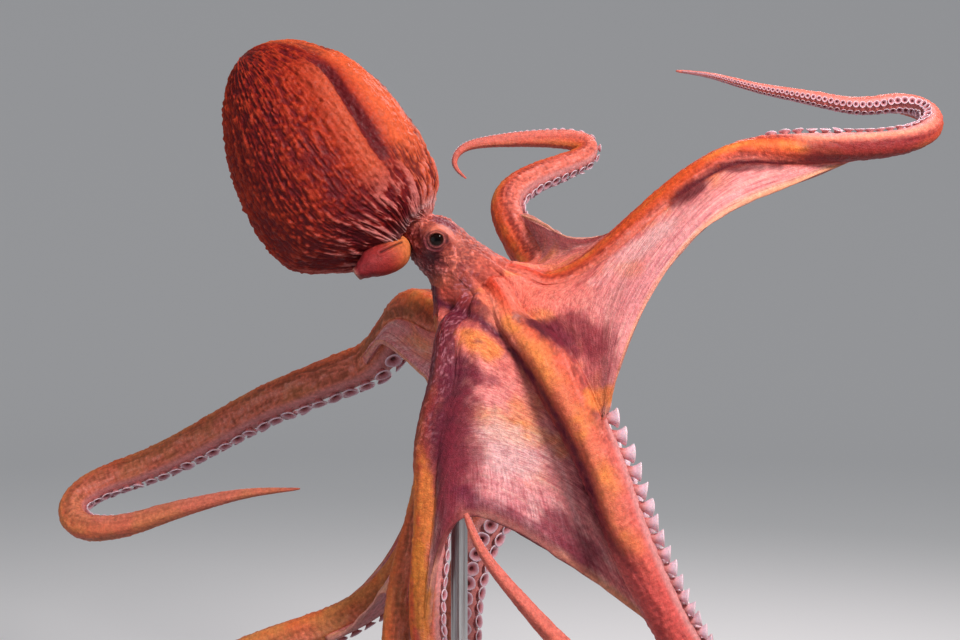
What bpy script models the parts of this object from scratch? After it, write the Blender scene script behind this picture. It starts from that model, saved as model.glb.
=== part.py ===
"""Giant Pacific octopus (Enteroctopus dofleini), swimming, life size, on a
plain display stand.

Metres, +Z up, origin at the centre of the stand's underside.  The animal's
right side faces -Y, its eight arms hang and reach from a crown that looks
down and to +X, and the sac-like mantle lies up and to -X.

The arms are sections swept along routes; neighbouring arms are joined by webs
whose rows start on the arms' flanks.  The same grid gives the crown, so arms,
webs and head meet face to face with a small gap.
"""
import math

import bpy
import bmesh
import numpy as np
from mathutils import Vector
from mathutils.bvhtree import BVHTree

MM = 0.001
GAP = 0.00018              # each of two touching faces steps back by this

# ------------------------------------------------------------ main sizes
CROWN = np.array((0.085, -0.025, 0.800))   # centre of the ring of arm roots
RING_DV, RING_LAT = 0.046, 0.050           # ring radii, dorsal and sideways
ARM_R = 0.036              # half width that a long arm grows towards
ARM_FALL = 0.45            # length over which it does so, from the tip
ARM_TIP = 0.0016           # half width of the very tip
ARM_TALL = 0.96            # an arm's height over its width
ORAL_FLAT = 0.86           # how much flatter the sucker face is
ROOT_HIGH, ROOT_RISE = 0.019, 0.13         # half height at the crown, and its gain per metre
ARM_ROOM = 0.40            # share of the way to the next arm that an arm may fill
LEAVE_AXIS, LEAVE_OUT = 0.45, 0.90         # direction in which arms leave the crown
ROUTE_EASE = 0.012         # length over which kinks of a route are eased
EYE_R = 0.0155
MANTLE_FLAT = 0.92         # sideways over dorso-ventral width
MOUTH_DEEP = 0.030         # from the crown's centre to the mouth
FIT_GAP = 0.0005           # gap round the siphon and round the eyes
BASE_L, BASE_W, BASE_H = 0.60, 0.46, 0.030
BASE_CORNER, BASE_RIM = 0.035, 0.003
ROD_R = 0.010
ROD_AT = (CROWN[0] - 0.030, CROWN[1] + 0.005)

# head axis (towards the mouth), dorsal direction, animal's right
AXIS = np.array((0.676, 0.0, -0.737))
DORSAL = np.array((0.737, 0.0, 0.676))
RIGHT = np.array((0.0, -1.0, 0.0))
NECK = CROWN + np.array((-0.080, 0.0, 0.087))
MANTLE_U = np.array((-0.69, 0.0, 0.724))   # from the neck to the apex
MANTLE_V = np.array((-0.724, 0.0, -0.69))  # towards the belly

# ------------------------------------------------------------ grid
N_ARM, N_WEB = 5, 4        # columns on an arm's outer face, inside a web
ROWS_WEB, ROWS_FREE = 9, 14
ROW_MID = 16               # an arm's middle length ends at this row
FACET = 78.0               # degrees from the arm's crest to its flank

# Routes of the arms, millimetres from the crown's centre; web is how far the
# web is joined to the arm (m), girth its share of the full width, tip the half
# width of its very end if that is not ARM_TIP, turn is (share of the arm,
# degrees of roll).
ARMS = [
    dict(name="r1", web=0.47, girth=0.71,
         turn=((0.34, 0), (0.46, 70), (0.55, 90), (0.64, 100), (0.74, 75), (1, 75)),
         route=((70, -35, 12), (109, -50, 24), (149, -62, 56), (190, -72, 97),
                (238, -76, 136), (292, -78, 162), (351, -78, 169), (405, -75, 172),
                (468, -70, 176), (518, -50, 192), (535, -15, 220), (505, 0, 235),
                (450, -5, 230), (385, -15, 240), (325, -20, 250), (270, -20, 265),
                (230, -20, 270))),
    dict(name="r2", web=0.48, girth=1.0, turn=((0.10, 0), (0.28, 48), (0.6, 55), (0.8, 30), (1, 0)),
         route=((25, -75, -25), (60, -100, -60), (90, -110, -105), (115, -115, -155),
                (138, -115, -205), (156, -115, -255), (178, -110, -305), (203, -100, -355),
                (235, -85, -410), (290, -65, -480), (355, -45, -535), (430, -25, -560),
                (490, -5, -535), (510, 5, -490), (480, 15, -460), (445, 20, -480))),
    dict(name="r3", web=0.40, girth=0.72, tip=0.0034, turn=((0.15, 0), (0.35, 55), (0.6, 75), (1, 0)),
         route=((-43, -82, -46), (-43, -95, -90), (-51, -96, -122), (-58, -96, -152),
                (-60, -94, -195), (-59, -93, -250), (-63, -94, -310), (-65, -95, -375), (-50, -97, -448),
                (-12, -100, -508), (45, -115, -540), (105, -135, -520), (140, -155, -470),
                (125, -170, -420), (85, -180, -380), (40, -185, -330), (0, -190, -280),
                (-15, -190, -250), (-20, -190, -235))),
    dict(name="r4", web=0.34, girth=0.74, turn=((0, 0), (1, 0)),
         route=((-41, -25, -62), (-48, -28, -115), (-53, -28, -165), (-62, -31, -216),
                (-73, -36, -263), (-87, -42, -310), (-98, -50, -357), (-103, -57, -415),
                (-107, -65, -470), (-130, -75, -525), (-175, -85, -560), (-235, -95, -570),
                (-295, -100, -555), (-330, -105, -515), (-320, -105, -465), (-280, -100, -455),
                (-260, -95, -480))),
    dict(name="l4", web=0.46, girth=0.82, turn=((0, 0), (1, 0)),
         route=((-45, 40, -70), (-50, 55, -120), (-54, 65, -180), (-63, 70, -250),
                (-88, 72, -322), (-130, 70, -376), (-184, 66, -408), (-245, 66, -428),
                (-310, 72, -452), (-380, 88, -490), (-445, 112, -548), (-475, 130, -620),
                (-435, 140, -670), (-370, 145, -665), (-335, 150, -625), (-355, 150, -585))),
    dict(name="l3", web=0.30, girth=1.0, turn=((0, 0), (1, 0)),
         route=((-38, 95, -34), (-68, 136, -16), (-98, 172, -16), (-122, 202, -50),
                (-150, 222, -84), (-196, 238, -104), (-250, 255, -125), (-310, 275, -150), (-375, 295, -185),
                (-440, 310, -220), (-500, 320, -246), (-552, 319, -264), (-590, 302, -292),
                (-572, 276, -320), (-510, 260, -318), (-425, 250, -292), (-335, 242, -270),
                (-255, 235, -262))),
    dict(name="l2", web=0.30, girth=1.0, turn=((0, 0), (1, 0)),
         route=((45, 90, -25), (85, 135, -55), (115, 170, -105), (110, 190, -165),
                (75, 200, -220), (30, 200, -270), (-5, 195, -320), (-25, 185, -380),
                (-30, 170, -450), (-20, 155, -530), (15, 140, -590), (75, 130, -620),
                (145, 130, -615), (195, 140, -580), (205, 150, -535), (175, 155, -510),
                (145, 160, -530))),
    dict(name="l1", web=0.22, girth=1.0, turn=((0, 0), (1, 0)),
         route=((58, 62, 28), (72, 112, 38), (62, 160, 62), (38, 200, 100),
                (32, 230, 135), (55, 258, 162), (95, 280, 183), (145, 305, 205), (155, 320, 225),
                (125, 325, 235), (70, 320, 235), (15, 310, 230), (-30, 300, 220),
                (-45, 295, 195), (-25, 295, 175))),
]
# Webs, each from the arm named to the next one round: the rows at which the
# free edge meets the first and the second arm, how far the edge is drawn in,
# how fast it leaves either arm, and how far the sheet bellies outwards
# (share of its width).
WEBS = {
    "r1": (9, 4, 0.37, 5.0, 4.0, 0.04), "r2": (9, 9, 0.40, 2.2, 8.0, 0.05),
    "r3": (9, 9, 0.30, 3.0, 3.0, 0.02), "r4": (9, 9, 0.10, 2.5, 2.5, 0.03),
    "l4": (9, 8, 0.74, 7.0, 4.0, 0.04), "l3": (9, 9, 0.42, 3.0, 3.0, 0.05),
    "l2": (6, 9, 0.40, 3.0, 3.0, 0.03), "l1": (9, 3, 0.40, 3.0, 3.0, 0.03),
}
WEB_HALF = 0.0022          # half thickness of a web at its middle

# Head stations: distance from the neck towards the mouth, dorsal edge,
# ventral edge, half width (all mm).
HEAD = ((-14, 18, -21, 27), (0, 20.5, -23, 30), (15, 30, -22, 40),
        (30, 35, -21, 45), (48, 37, -27, 46), (66, 40, -37, 49), (80, 46, -49, 54))
# Mantle stations: distance from the neck, centre's shift to the belly, half
# height (all mm).
MANTLE = ((0, 24, 49), (12, 24, 66), (24, 25, 82), (54, 35, 105), (73, 36, 114),
          (105, 33, 118), (134, 29, 117), (158, 25, 113), (209, 18, 97),
          (247, 14, 73), (270, 12, 52), (288, 11, 25), (295, 10, 0))
# Siphon: mm along mantle_u, mantle_v and to the right; outer radius.
SIPHON = ((8, 38, 3, 16), (-4, 41, 20, 20), (-5, 50, 36, 21), (0, 70, 46, 18.5),
          (4, 92, 46, 15))
SIPHON_WALL = 0.0035
EYE_AT = (31.0, 4.0, 38.5)                 # mm: along, dorsal, sideways
EYE_MOUND, EYE_SPREAD = 0.006, 0.017       # height and radius of the eye's mound
HEAD_JOIN, HEAD_EASE = 70.0, 0.030         # mm: where the crown meets the head; m: ease


def smooth_table(x, rows):
    """Catmull-Rom through rows of (x, values...), as one array of values."""
    rows = np.array(rows, dtype=float)
    xs, ys = rows[:, 0], rows[:, 1:]
    m = np.empty_like(ys)
    m[1:-1] = (ys[2:] - ys[:-2]) / (xs[2:] - xs[:-2])[:, None]
    m[0] = (ys[1] - ys[0]) / (xs[1] - xs[0])
    m[-1] = (ys[-1] - ys[-2]) / (xs[-1] - xs[-2])
    x = np.clip(np.atleast_1d(x), xs[0], xs[-1])
    i = np.clip(np.searchsorted(xs, x, side="right") - 1, 0, len(xs) - 2)
    h = xs[i + 1] - xs[i]
    t = ((x - xs[i]) / h)[:, None]
    h = h[:, None]
    return ((2 * t**3 - 3 * t**2 + 1) * ys[i] + (t**3 - 2 * t**2 + t) * h * m[i]
            + (-2 * t**3 + 3 * t**2) * ys[i + 1] + (t**3 - t**2) * h * m[i + 1])


def unit(v):
    return v / np.maximum(np.linalg.norm(v, axis=-1, keepdims=True), 1e-12)


def perp(v, t):
    """The part of v square to the unit tangents t, made unit."""
    return unit(v - (v * t).sum(-1, keepdims=True) * t)


def soft_min(a, b):
    """The smaller of two lengths, rounded where they are alike."""
    return (a ** -4 + b ** -4) ** -0.25


# ------------------------------------------------------------ arms
DENSE = 801                # points of an arm's centre line


def ring_angle(i):
    return math.radians(22.5 + 45.0 * i)


def lay_out_arms():
    for i, arm in enumerate(ARMS):
        al = ring_angle(i)
        radial = math.cos(al) * DORSAL + math.sin(al) * RIGHT
        start = CROWN + RING_DV * math.cos(al) * DORSAL + RING_LAT * math.sin(al) * RIGHT
        pts = [start] + [CROWN + np.array(p) * MM for p in arm["route"]]
        # a first step that leaves the crown outwards and towards the mouth
        out = unit(LEAVE_AXIS * AXIS + LEAVE_OUT * radial)
        step = np.linalg.norm(pts[1] - start)
        pts.insert(1, start + 0.45 * step * unit(out + unit(pts[1] - start)))
        pts = np.array(pts)
        chord = np.r_[0, np.cumsum(np.sqrt(np.linalg.norm(np.diff(pts, axis=0), axis=1)))]
        fine = smooth_table(np.linspace(0, chord[-1], 4000), np.c_[chord, pts])
        run = np.r_[0, np.cumsum(np.linalg.norm(np.diff(fine, axis=0), axis=1))]
        s = np.linspace(0, run[-1], DENSE)
        c = np.array([np.interp(s, run, fine[:, a]) for a in range(3)]).T
        # ease the small kinks of the route, the ends held
        width = int(ROUTE_EASE / (s[1] - s[0]))
        for _ in range(3):
            pad = np.r_[2 * c[0] - c[width:0:-1], c, 2 * c[-1] - c[-2:-width - 2:-1]]
            acc = np.cumsum(np.r_[np.zeros((1, 3)), pad], axis=0)
            c = (acc[2 * width + 1:] - acc[:-2 * width - 1]) / (2 * width + 1)
        arm["length"], arm["s"], arm["c"] = run[-1], s, c
        arm["t"] = unit(np.gradient(c, axis=0))
    for i, arm in enumerate(ARMS):
        nxt, prv = ARMS[(i + 1) % 8], ARMS[(i - 1) % 8]
        share = arm["s"] / arm["web"]

        def beside(other):
            at = np.minimum(share, 1.15) * other["web"]
            return np.array([np.interp(at, other["s"], other["c"][:, a]) for a in range(3)]).T
        a_side, b_side = beside(nxt), beside(prv)
        # square to the arm, with one neighbour on either side of it
        across = perp(perp(a_side - arm["c"], arm["t"]) - perp(b_side - arm["c"], arm["t"])
                      + 0.5 * unit(a_side - b_side), arm["t"])
        both = np.concatenate([nxt["c"][::4], prv["c"][::4]])
        gap = np.linalg.norm(arm["c"][:, None] - both[None], axis=2).min(axis=1)
        # past the web the section is carried along without twisting
        last = int(np.searchsorted(arm["s"], arm["web"]))
        for k in range(last, DENSE):
            across[k] = perp(across[k - 1][None], arm["t"][k][None])[0]
        for _ in range(2):
            across[1:-1] = 0.5 * across[1:-1] + 0.25 * (across[2:] + across[:-2])
        across = perp(across, arm["t"])
        out = np.cross(across, arm["t"])
        roll = np.radians(smooth_table(arm["s"] / arm["length"], arm["turn"])[:, :1])
        arm["b"] = np.cos(roll) * across - np.sin(roll) * out
        arm["n"] = np.cos(roll) * out + np.sin(roll) * across
        # half width and half height
        free = arm["length"] - arm["s"]
        tip = arm.get("tip", ARM_TIP)
        grown = arm["girth"] * ARM_R - tip
        blunt = np.sqrt(np.minimum(1, free / 0.004 + 0.02))
        size = tip + grown * (1 - np.exp(-free / ARM_FALL)) * blunt
        room = ARM_ROOM * gap + 0.2 * np.clip(share - 1, 0, 9)
        arm["w"] = soft_min(size, room)
        arm["h"] = ARM_TALL * soft_min(size, ROOT_HIGH + ROOT_RISE * arm["s"])


def arm_at(arm, s, key):
    v = arm[key]
    if v.ndim == 1:
        return np.interp(s, arm["s"], v)
    return np.array([np.interp(s, arm["s"], v[:, a]) for a in range(3)]).T


def section(arm, s, phi):
    """Points of the arm's skin at lengths s, at the angle phi from its crest."""
    c, b, n = (arm_at(arm, s, k) for k in "cbn")
    w, h = arm_at(arm, s, "w")[:, None], arm_at(arm, s, "h")[:, None]
    cs = math.cos(phi)
    if cs < 0:
        cs *= ORAL_FLAT
    return c + w * math.sin(phi) * b + h * cs * n


def arm_rows(arm):
    a = arm["web"] * np.arange(ROWS_WEB + 1) / ROWS_WEB
    # beyond the web the rows gather where the arm bends
    s, t = arm["s"], arm["t"]
    bend = np.linalg.norm(np.gradient(t, axis=0), axis=1) / (s[1] - s[0])
    load = np.cumsum((s >= arm["web"]) * (1 + 0.055 * bend))
    b = np.interp(load[-1] * np.arange(1, ROWS_FREE + 1) / ROWS_FREE, load, s)
    return np.r_[a, b]


def arm_grid(arm):
    """Outer and inner faces of an arm: arrays (row, column, xyz)."""
    s = arm_rows(arm)
    face = np.radians(np.linspace(-FACET, FACET, N_ARM))
    outer = np.stack([section(arm, s, p) for p in face], axis=1)
    under = np.radians(np.linspace(-(180 - FACET), -(180 + FACET), N_ARM))
    inner = np.stack([section(arm, s, p) for p in under], axis=1)
    return outer, inner


# ------------------------------------------------------------ webs
def web_grid(i):
    """Outer and inner faces of the web between arm i and the next."""
    a, b = ARMS[i], ARMS[(i + 1) % 8]
    end_a, end_b, dip, fast_a, fast_b, belly = WEBS[a["name"]]
    t = 0.5 - 0.5 * np.cos(np.pi * np.arange(1, N_WEB + 1) / (N_WEB + 1))
    rows = np.arange(ROWS_WEB + 1) / ROWS_WEB
    T, K = np.meshgrid(t, rows)

    def middle(T, K):
        draw = dip * (1 - (1 - T) ** fast_a) * (1 - T ** fast_b)
        sa = (np.minimum(K, end_a / ROWS_WEB) * (1 - draw)).ravel() * a["web"]
        sb = (np.minimum(K, end_b / ROWS_WEB) * (1 - draw)).ravel() * b["web"]
        flank = math.radians(90)
        pa = section(a, sa, flank)
        pb = section(b, sb, -flank)
        span = np.linalg.norm(pb - pa, axis=1)[:, None]
        ta, tb = arm_at(a, sa, "b"), arm_at(b, sb, "b")
        na, nb = arm_at(a, sa, "n"), arm_at(b, sb, "n")
        u = T.ravel()[:, None]
        k1 = (u**3 - 2 * u**2 + u) * span * 0.55
        k2 = (u**3 - u**2) * span * 0.55
        p = ((2 * u**3 - 3 * u**2 + 1) * pa + (-2 * u**3 + 3 * u**2) * pb + k1 * ta + k2 * tb
             + 4 * u * (1 - u) * belly * span * unit(na + nb))
        return p.reshape(T.shape + (3,))
    e = 1e-3
    p = middle(T, K)
    dt = middle(T + e, K) - middle(T - e, K)
    ds = middle(T, K + e) - middle(T, np.maximum(K - e, 0))
    n = unit(np.cross(dt, ds))
    # as thick as the arms' flanks where it meets them, thin between them
    flank_a = arm_at(a, np.minimum(rows, end_a / ROWS_WEB) * a["web"], "h")[:, None]
    flank_b = arm_at(b, np.minimum(rows, end_b / ROWS_WEB) * b["web"], "h")[:, None]
    flank = ((1 - T) * flank_a + T * flank_b) * math.cos(math.radians(FACET))
    thin = np.sqrt(np.minimum(1, 4 * T * (1 - T)))
    half = (1 - thin) * 0.93 * flank + thin * WEB_HALF
    top = max(end_a, end_b) + 1
    return (p + half[..., None] * n)[:top], (p - half[..., None] * n)[:top]


# ------------------------------------------------------------ mesh helpers
ANIMAL = bpy.data.collections.new("octopus")
CUTTERS = bpy.data.collections.new("cutters")


def material(name, colour, rough, metal=0.0):
    m = bpy.data.materials.new(name)
    m.use_nodes = True
    p = m.node_tree.nodes["Principled BSDF"]
    p.inputs["Base Color"].default_value = (*colour, 1)
    p.inputs["Roughness"].default_value = rough
    p.inputs["Metallic"].default_value = metal
    return m


class Solid:
    """Vertices and triangles gathered into one closed mesh."""

    def __init__(self):
        self.v, self.f = [], []

    def add(self, points):
        start = len(self.v)
        self.v.extend(tuple(p) for p in np.asarray(points).reshape(-1, 3))
        return start + np.arange(len(self.v) - start).reshape(np.asarray(points).shape[:-1])

    def strip(self, a, b, flip=False, wrap=False):
        """Triangles between two lines of indices."""
        n = len(a)
        for j in range(n if wrap else n - 1):
            k = (j + 1) % n
            quad = (int(a[j]), int(a[k]), int(b[k]), int(b[j]))
            tris = ((quad[0], quad[1], quad[2]), (quad[0], quad[2], quad[3]))
            for t in tris:
                if len(set(t)) == 3:
                    self.f.append(t[::-1] if flip else t)

    def sheet(self, idx, flip=False, wrap=False):
        for r in range(len(idx) - 1):
            self.strip(idx[r], idx[r + 1], flip, wrap)

    def fan(self, line, tip, flip=False):
        n = len(line)
        for j in range(n):
            t = (line[j], line[(j + 1) % n], tip)
            self.f.append(t[::-1] if flip else t)

    def make(self, name, mat, where=ANIMAL):
        me = bpy.data.meshes.new(name)
        me.from_pydata(self.v, [], [tuple(int(q) for q in f) for f in self.f])
        bm = bmesh.new()
        bm.from_mesh(me)
        bmesh.ops.delete(bm, geom=[v for v in bm.verts if not v.link_faces], context="VERTS")
        bmesh.ops.recalc_face_normals(bm, faces=bm.faces[:])
        if bm.calc_volume(signed=True) < 0:
            bmesh.ops.reverse_faces(bm, faces=bm.faces[:])
        bm.to_mesh(me)
        bm.free()
        me.materials.append(mat)
        me.shade_smooth()
        ob = bpy.data.objects.new(name, me)
        where.objects.link(ob)
        return ob


def block(name, mat, outer, inner, first_end=None, last_end=None):
    """A closed block between an outer and an inner face of equal grids; a
    side column that ends early keeps its last point."""
    s = Solid()
    o, i = s.add(outer), s.add(inner)
    for col, end in ((0, first_end), (-1, last_end)):
        if end is not None:
            o[end:, col] = o[end, col]
            i[end:, col] = i[end, col]
    s.sheet(o)
    s.sheet(i, flip=True)
    s.strip(o[0], i[0], flip=True)
    s.strip(o[-1], i[-1])
    s.strip(o[:, 0], i[:, 0])
    s.strip(o[:, -1], i[:, -1], flip=True)
    return s.make(name, mat)


def cut(ob, cutter):
    m = ob.modifiers.new("cut", "BOOLEAN")
    m.operation, m.object, m.solver = "DIFFERENCE", cutter, "EXACT"


def hide_cutter(ob):
    ob.hide_render = True
    ob.display_type = "WIRE"


# ------------------------------------------------------------ pieces
def make_arms(mats):
    grids = []
    for arm in ARMS:
        outer, inner = arm_grid(arm)
        grids.append((outer.copy(), inner.copy()))
        s = arm_rows(arm)
        b = arm_at(arm, s, "b")
        t = arm_at(arm, s, "t")
        # the flanks that carry webs step back
        for g in (outer, inner):
            g[:ROWS_WEB + 1, 0] += GAP * b[:ROWS_WEB + 1]
            g[:ROWS_WEB + 1, -1] -= GAP * b[:ROWS_WEB + 1]
        # the middle length ends where the arm is nearly straight
        bend = [np.linalg.norm(arm_at(arm, [q + 0.02], "t") - arm_at(arm, [q - 0.02], "t"))
                for q in s[ROW_MID - 2:ROW_MID + 3]]
        cuts = (0, ROWS_WEB, ROW_MID - 2 + int(np.argmin(bend)), ROWS_WEB + ROWS_FREE)
        for part, (lo, hi) in zip(("base", "mid", "tip"), zip(cuts, cuts[1:])):
            o, n = outer[lo:hi + 1].copy(), inner[lo:hi + 1].copy()
            for g in (o, n):
                g[0] += GAP * t[lo]
                if hi < cuts[-1]:
                    g[-1] -= GAP * t[hi]
            block("arm_%s_%s" % (arm["name"], part), mats["skin"], o, n)
    return grids


def make_webs(mats, grids):
    webs = []
    for i, arm in enumerate(ARMS):
        a, b = arm, ARMS[(i + 1) % 8]
        outer, inner = web_grid(i)
        webs.append((outer.copy(), inner.copy()))
        end_a, end_b = WEBS[a["name"]][:2]
        top = max(end_a, end_b) + 1
        sa, sb = arm_rows(a)[:top], arm_rows(b)[:top]
        oa = grids[i][0][:top, -1] + GAP * arm_at(a, sa, "b")
        ia = grids[i][1][:top, -1] + GAP * arm_at(a, sa, "b")
        ob = grids[(i + 1) % 8][0][:top, 0] - GAP * arm_at(b, sb, "b")
        ib = grids[(i + 1) % 8][1][:top, 0] - GAP * arm_at(b, sb, "b")
        outer = np.concatenate([oa[:, None], outer, ob[:, None]], axis=1)
        inner = np.concatenate([ia[:, None], inner, ib[:, None]], axis=1)
        step = 0.0012 * unit(outer[1] - outer[0])
        outer[0] += step
        inner[0] += step
        block("web_%s_%s" % (a["name"], b["name"]), mats["skin"], outer, inner,
              end_a if end_a < top - 1 else None, end_b if end_b < top - 1 else None)
    return webs


def eye_centre(side):
    """An eye's centre on the right (1) or the left (-1)."""
    return NECK + MM * (EYE_AT[0] * AXIS + EYE_AT[1] * DORSAL + side * EYE_AT[2] * RIGHT)


def head_point(along, angle):
    """Skin of the head at a distance from the neck (mm), angle from dorsal."""
    d, v, lat = (q[:, None] for q in smooth_table(along, HEAD).T)
    mid, half = 0.5 * (d + v), 0.5 * (d - v)
    ca, sa = np.cos(angle)[:, None], np.sin(angle)[:, None]
    p = NECK + MM * (np.atleast_1d(along)[:, None] * AXIS + (mid + half * ca) * DORSAL + lat * sa * RIGHT)
    # a low mound carries each eye
    for side in (1, -1):
        r = np.linalg.norm(p - eye_centre(side), axis=1)[:, None]
        p = p + EYE_MOUND * np.exp(-(r / EYE_SPREAD) ** 2) * side * RIGHT
    return p


def make_head(mats, grids):
    outer = np.concatenate([g[0][:2] for g in grids], axis=1)
    inner = np.concatenate([g[1][:2] for g in grids], axis=1)
    rel = outer[0] - CROWN
    angle = np.arctan2(rel @ RIGHT / RING_LAT, rel @ DORSAL / RING_DV)
    back = unit(outer[0] - outer[1])
    s = Solid()
    rows = [outer[0] + 2 * GAP * back]
    target = head_point(np.full(len(angle), HEAD_JOIN), angle)
    lead = unit(head_point(np.full(len(angle), HEAD_JOIN - 4), angle) - target)
    for t in (0.3, 0.65, 1.0):
        rows.append((2 * t**3 - 3 * t**2 + 1) * rows[0] + (-2 * t**3 + 3 * t**2) * target
                    + ((t**3 - 2 * t**2 + t) * back + (t**3 - t**2) * lead) * HEAD_EASE)
    for along in (57, 45, 35, 26, 15, 2, -13.5):
        rows.append(head_point(np.full(len(angle), float(along)), angle))
    idx = s.add(np.array(rows))
    s.sheet(idx, flip=True, wrap=True)
    under = s.add(inner[0] + 2 * GAP * unit(inner[0] - inner[1]))
    s.strip(idx[0], under, wrap=True)
    mouth = CROWN + MOUTH_DEEP * AXIS
    ring = s.add(mouth + 0.45 * (inner[0] - mouth) + 0.006 * AXIS)
    s.strip(under, ring, wrap=True)
    s.fan(ring, s.add(mouth[None])[0])
    s.fan(idx[-1], s.add(rows[-1].mean(axis=0)[None])[0], flip=True)
    return s.make("head", mats["skin"])


def mantle_ring(u, turn, grow=0.0):
    shift, half = smooth_table(u, MANTLE)[0]
    half = max(half + grow, 0.0)
    return (NECK + MM * (u * MANTLE_U + (shift + half * np.cos(turn))[:, None] * MANTLE_V
                         + (half * MANTLE_FLAT * np.sin(turn))[:, None] * RIGHT))


def make_mantle(mats):
    turn = np.radians(np.arange(30) * 12.0)
    s = Solid()
    rows = [mantle_ring(float(u), turn) for u in
            (0, 10, 22, 40, 64, 94, 128, 162, 194, 222, 246, 266, 281, 291)]
    idx = s.add(np.array(rows))
    s.sheet(idx, wrap=True)
    tip_u, tip_v = MANTLE[-1][:2]
    s.fan(idx[-1], s.add(NECK[None] + MM * (tip_u * MANTLE_U + tip_v * MANTLE_V))[0])
    # the opening behind the head: a shallow pocket inside the rim
    pocket = np.array([NECK + MM * (u * MANTLE_U + (c + r * np.cos(turn))[:, None] * MANTLE_V
                                    + (k * np.sin(turn))[:, None] * RIGHT)
                       for u, c, r, k in ((-1.5, 24, 46.6, 43), (5, 22, 45, 40), (14, 20, 43, 37))])
    hole = s.add(pocket)
    s.strip(idx[0], hole[0], flip=True, wrap=True)
    s.sheet(hole, flip=True, wrap=True)
    s.fan(hole[-1], s.add(pocket[-1].mean(axis=0)[None])[0], flip=True)
    return s.make("mantle", mats["skin"])


def siphon_rings(grow=0.0):
    table = np.array([(k, *row) for k, row in enumerate(SIPHON)], float)
    v = smooth_table(np.linspace(0, len(SIPHON) - 1, 11), table)
    c = NECK + MM * (v[:, :1] * MANTLE_U + v[:, 1:2] * MANTLE_V + v[:, 2:3] * RIGHT)
    t = unit(np.gradient(c, axis=0))
    a = perp(np.tile(AXIS, (len(c), 1)), t)
    b = np.cross(t, a)
    turn = np.radians(np.arange(14) * 360 / 14)
    r = (v[:, 3] * MM + grow)[:, None, None]
    ring = np.cos(turn)[None, :, None] * a[:, None] + np.sin(turn)[None, :, None] * b[:, None]
    return c, t, ring, r


def make_siphon(mats):
    c, t, ring, r = siphon_rings()
    s = Solid()
    out = s.add(c[:, None] + r * ring)
    s.sheet(out, wrap=True)
    bore = s.add((c[:, None] + (r - SIPHON_WALL) * ring)[:3:-1])
    s.strip(out[-1], bore[0], wrap=True)
    s.sheet(bore, wrap=True)
    s.fan(bore[-1], s.add(c[4][None])[0])
    s.fan(out[0], s.add(c[0][None])[0], flip=True)
    ob = s.make("siphon", mats["skin"])
    # its envelope, to clear the mantle and the head
    c, t, ring, r = siphon_rings(FIT_GAP)
    c[0] -= FIT_GAP * t[0]
    c[-1] += FIT_GAP * t[-1]
    s = Solid()
    out = s.add(c[:, None] + r * ring)
    s.sheet(out, wrap=True)
    s.fan(out[0], s.add(c[0][None])[0], flip=True)
    s.fan(out[-1], s.add(c[-1][None])[0])
    env = s.make("siphon_envelope", mats["skin"], CUTTERS)
    hide_cutter(env)
    return ob, env


def ball(name, centre, r, mat, where):
    me = bpy.data.meshes.new(name)
    bm = bmesh.new()
    bmesh.ops.create_uvsphere(bm, u_segments=14, v_segments=9, radius=r)
    bm.to_mesh(me)
    bm.free()
    me.materials.append(mat)
    me.shade_smooth()
    ob = bpy.data.objects.new(name, me)
    ob.location = Vector(centre)
    ob.rotation_euler = (math.pi / 2, 0, 0)
    where.objects.link(ob)
    return ob


def make_stand(mats, flesh):
    bm = bmesh.new()
    bmesh.ops.create_cube(bm, size=1.0)
    bmesh.ops.scale(bm, vec=(BASE_L, BASE_W, BASE_H), verts=bm.verts)
    bmesh.ops.translate(bm, vec=(0, 0, BASE_H / 2), verts=bm.verts)
    upright = [e for e in bm.edges if abs(e.verts[0].co.z - e.verts[1].co.z) > 0.01]
    bmesh.ops.bevel(bm, geom=upright, offset=BASE_CORNER, segments=6, profile=0.5, affect="EDGES")
    rim = [e for e in bm.edges if all(v.co.z > BASE_H - 1e-5 for v in e.verts)]
    bmesh.ops.bevel(bm, geom=rim, offset=BASE_RIM, segments=2, profile=0.5, affect="EDGES")
    me = bpy.data.meshes.new("stand_base")
    bm.to_mesh(me)
    bm.free()
    me.materials.append(mats["base"])
    base = bpy.data.objects.new("stand_base", me)
    ANIMAL.objects.link(base)
    # the rod ends just under the first flesh above it
    bpy.context.view_layer.update()
    deps = bpy.context.evaluated_depsgraph_get()
    foot = Vector((ROD_AT[0], ROD_AT[1], 0.1))
    top = 9.0
    for ob in flesh:
        ev = ob.evaluated_get(deps)
        tree = BVHTree.FromObject(ev, deps)
        back = ob.matrix_world.inverted()
        for r in (0.0, 0.5, 1.0):
            for k in range(12):
                a = k * math.pi / 6
                p = foot + Vector((math.cos(a), math.sin(a), 0)) * ROD_R * r * 1.03
                hit = tree.ray_cast(back @ p, Vector((0, 0, 1)))
                if hit[0] is not None:
                    top = min(top, (ob.matrix_world @ hit[0]).z)
    low = BASE_H + 2 * GAP
    high = top - 2 * GAP
    bm = bmesh.new()
    bmesh.ops.create_cone(bm, cap_ends=True, segments=24, radius1=ROD_R, radius2=ROD_R, depth=high - low)
    bmesh.ops.translate(bm, vec=(ROD_AT[0], ROD_AT[1], (high + low) / 2), verts=bm.verts)
    me = bpy.data.meshes.new("stand_rod")
    bm.to_mesh(me)
    bm.free()
    me.materials.append(mats["rod"])
    me.shade_smooth()
    me.set_sharp_from_angle(angle=math.radians(40))
    rod = bpy.data.objects.new("stand_rod", me)
    ANIMAL.objects.link(rod)


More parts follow.
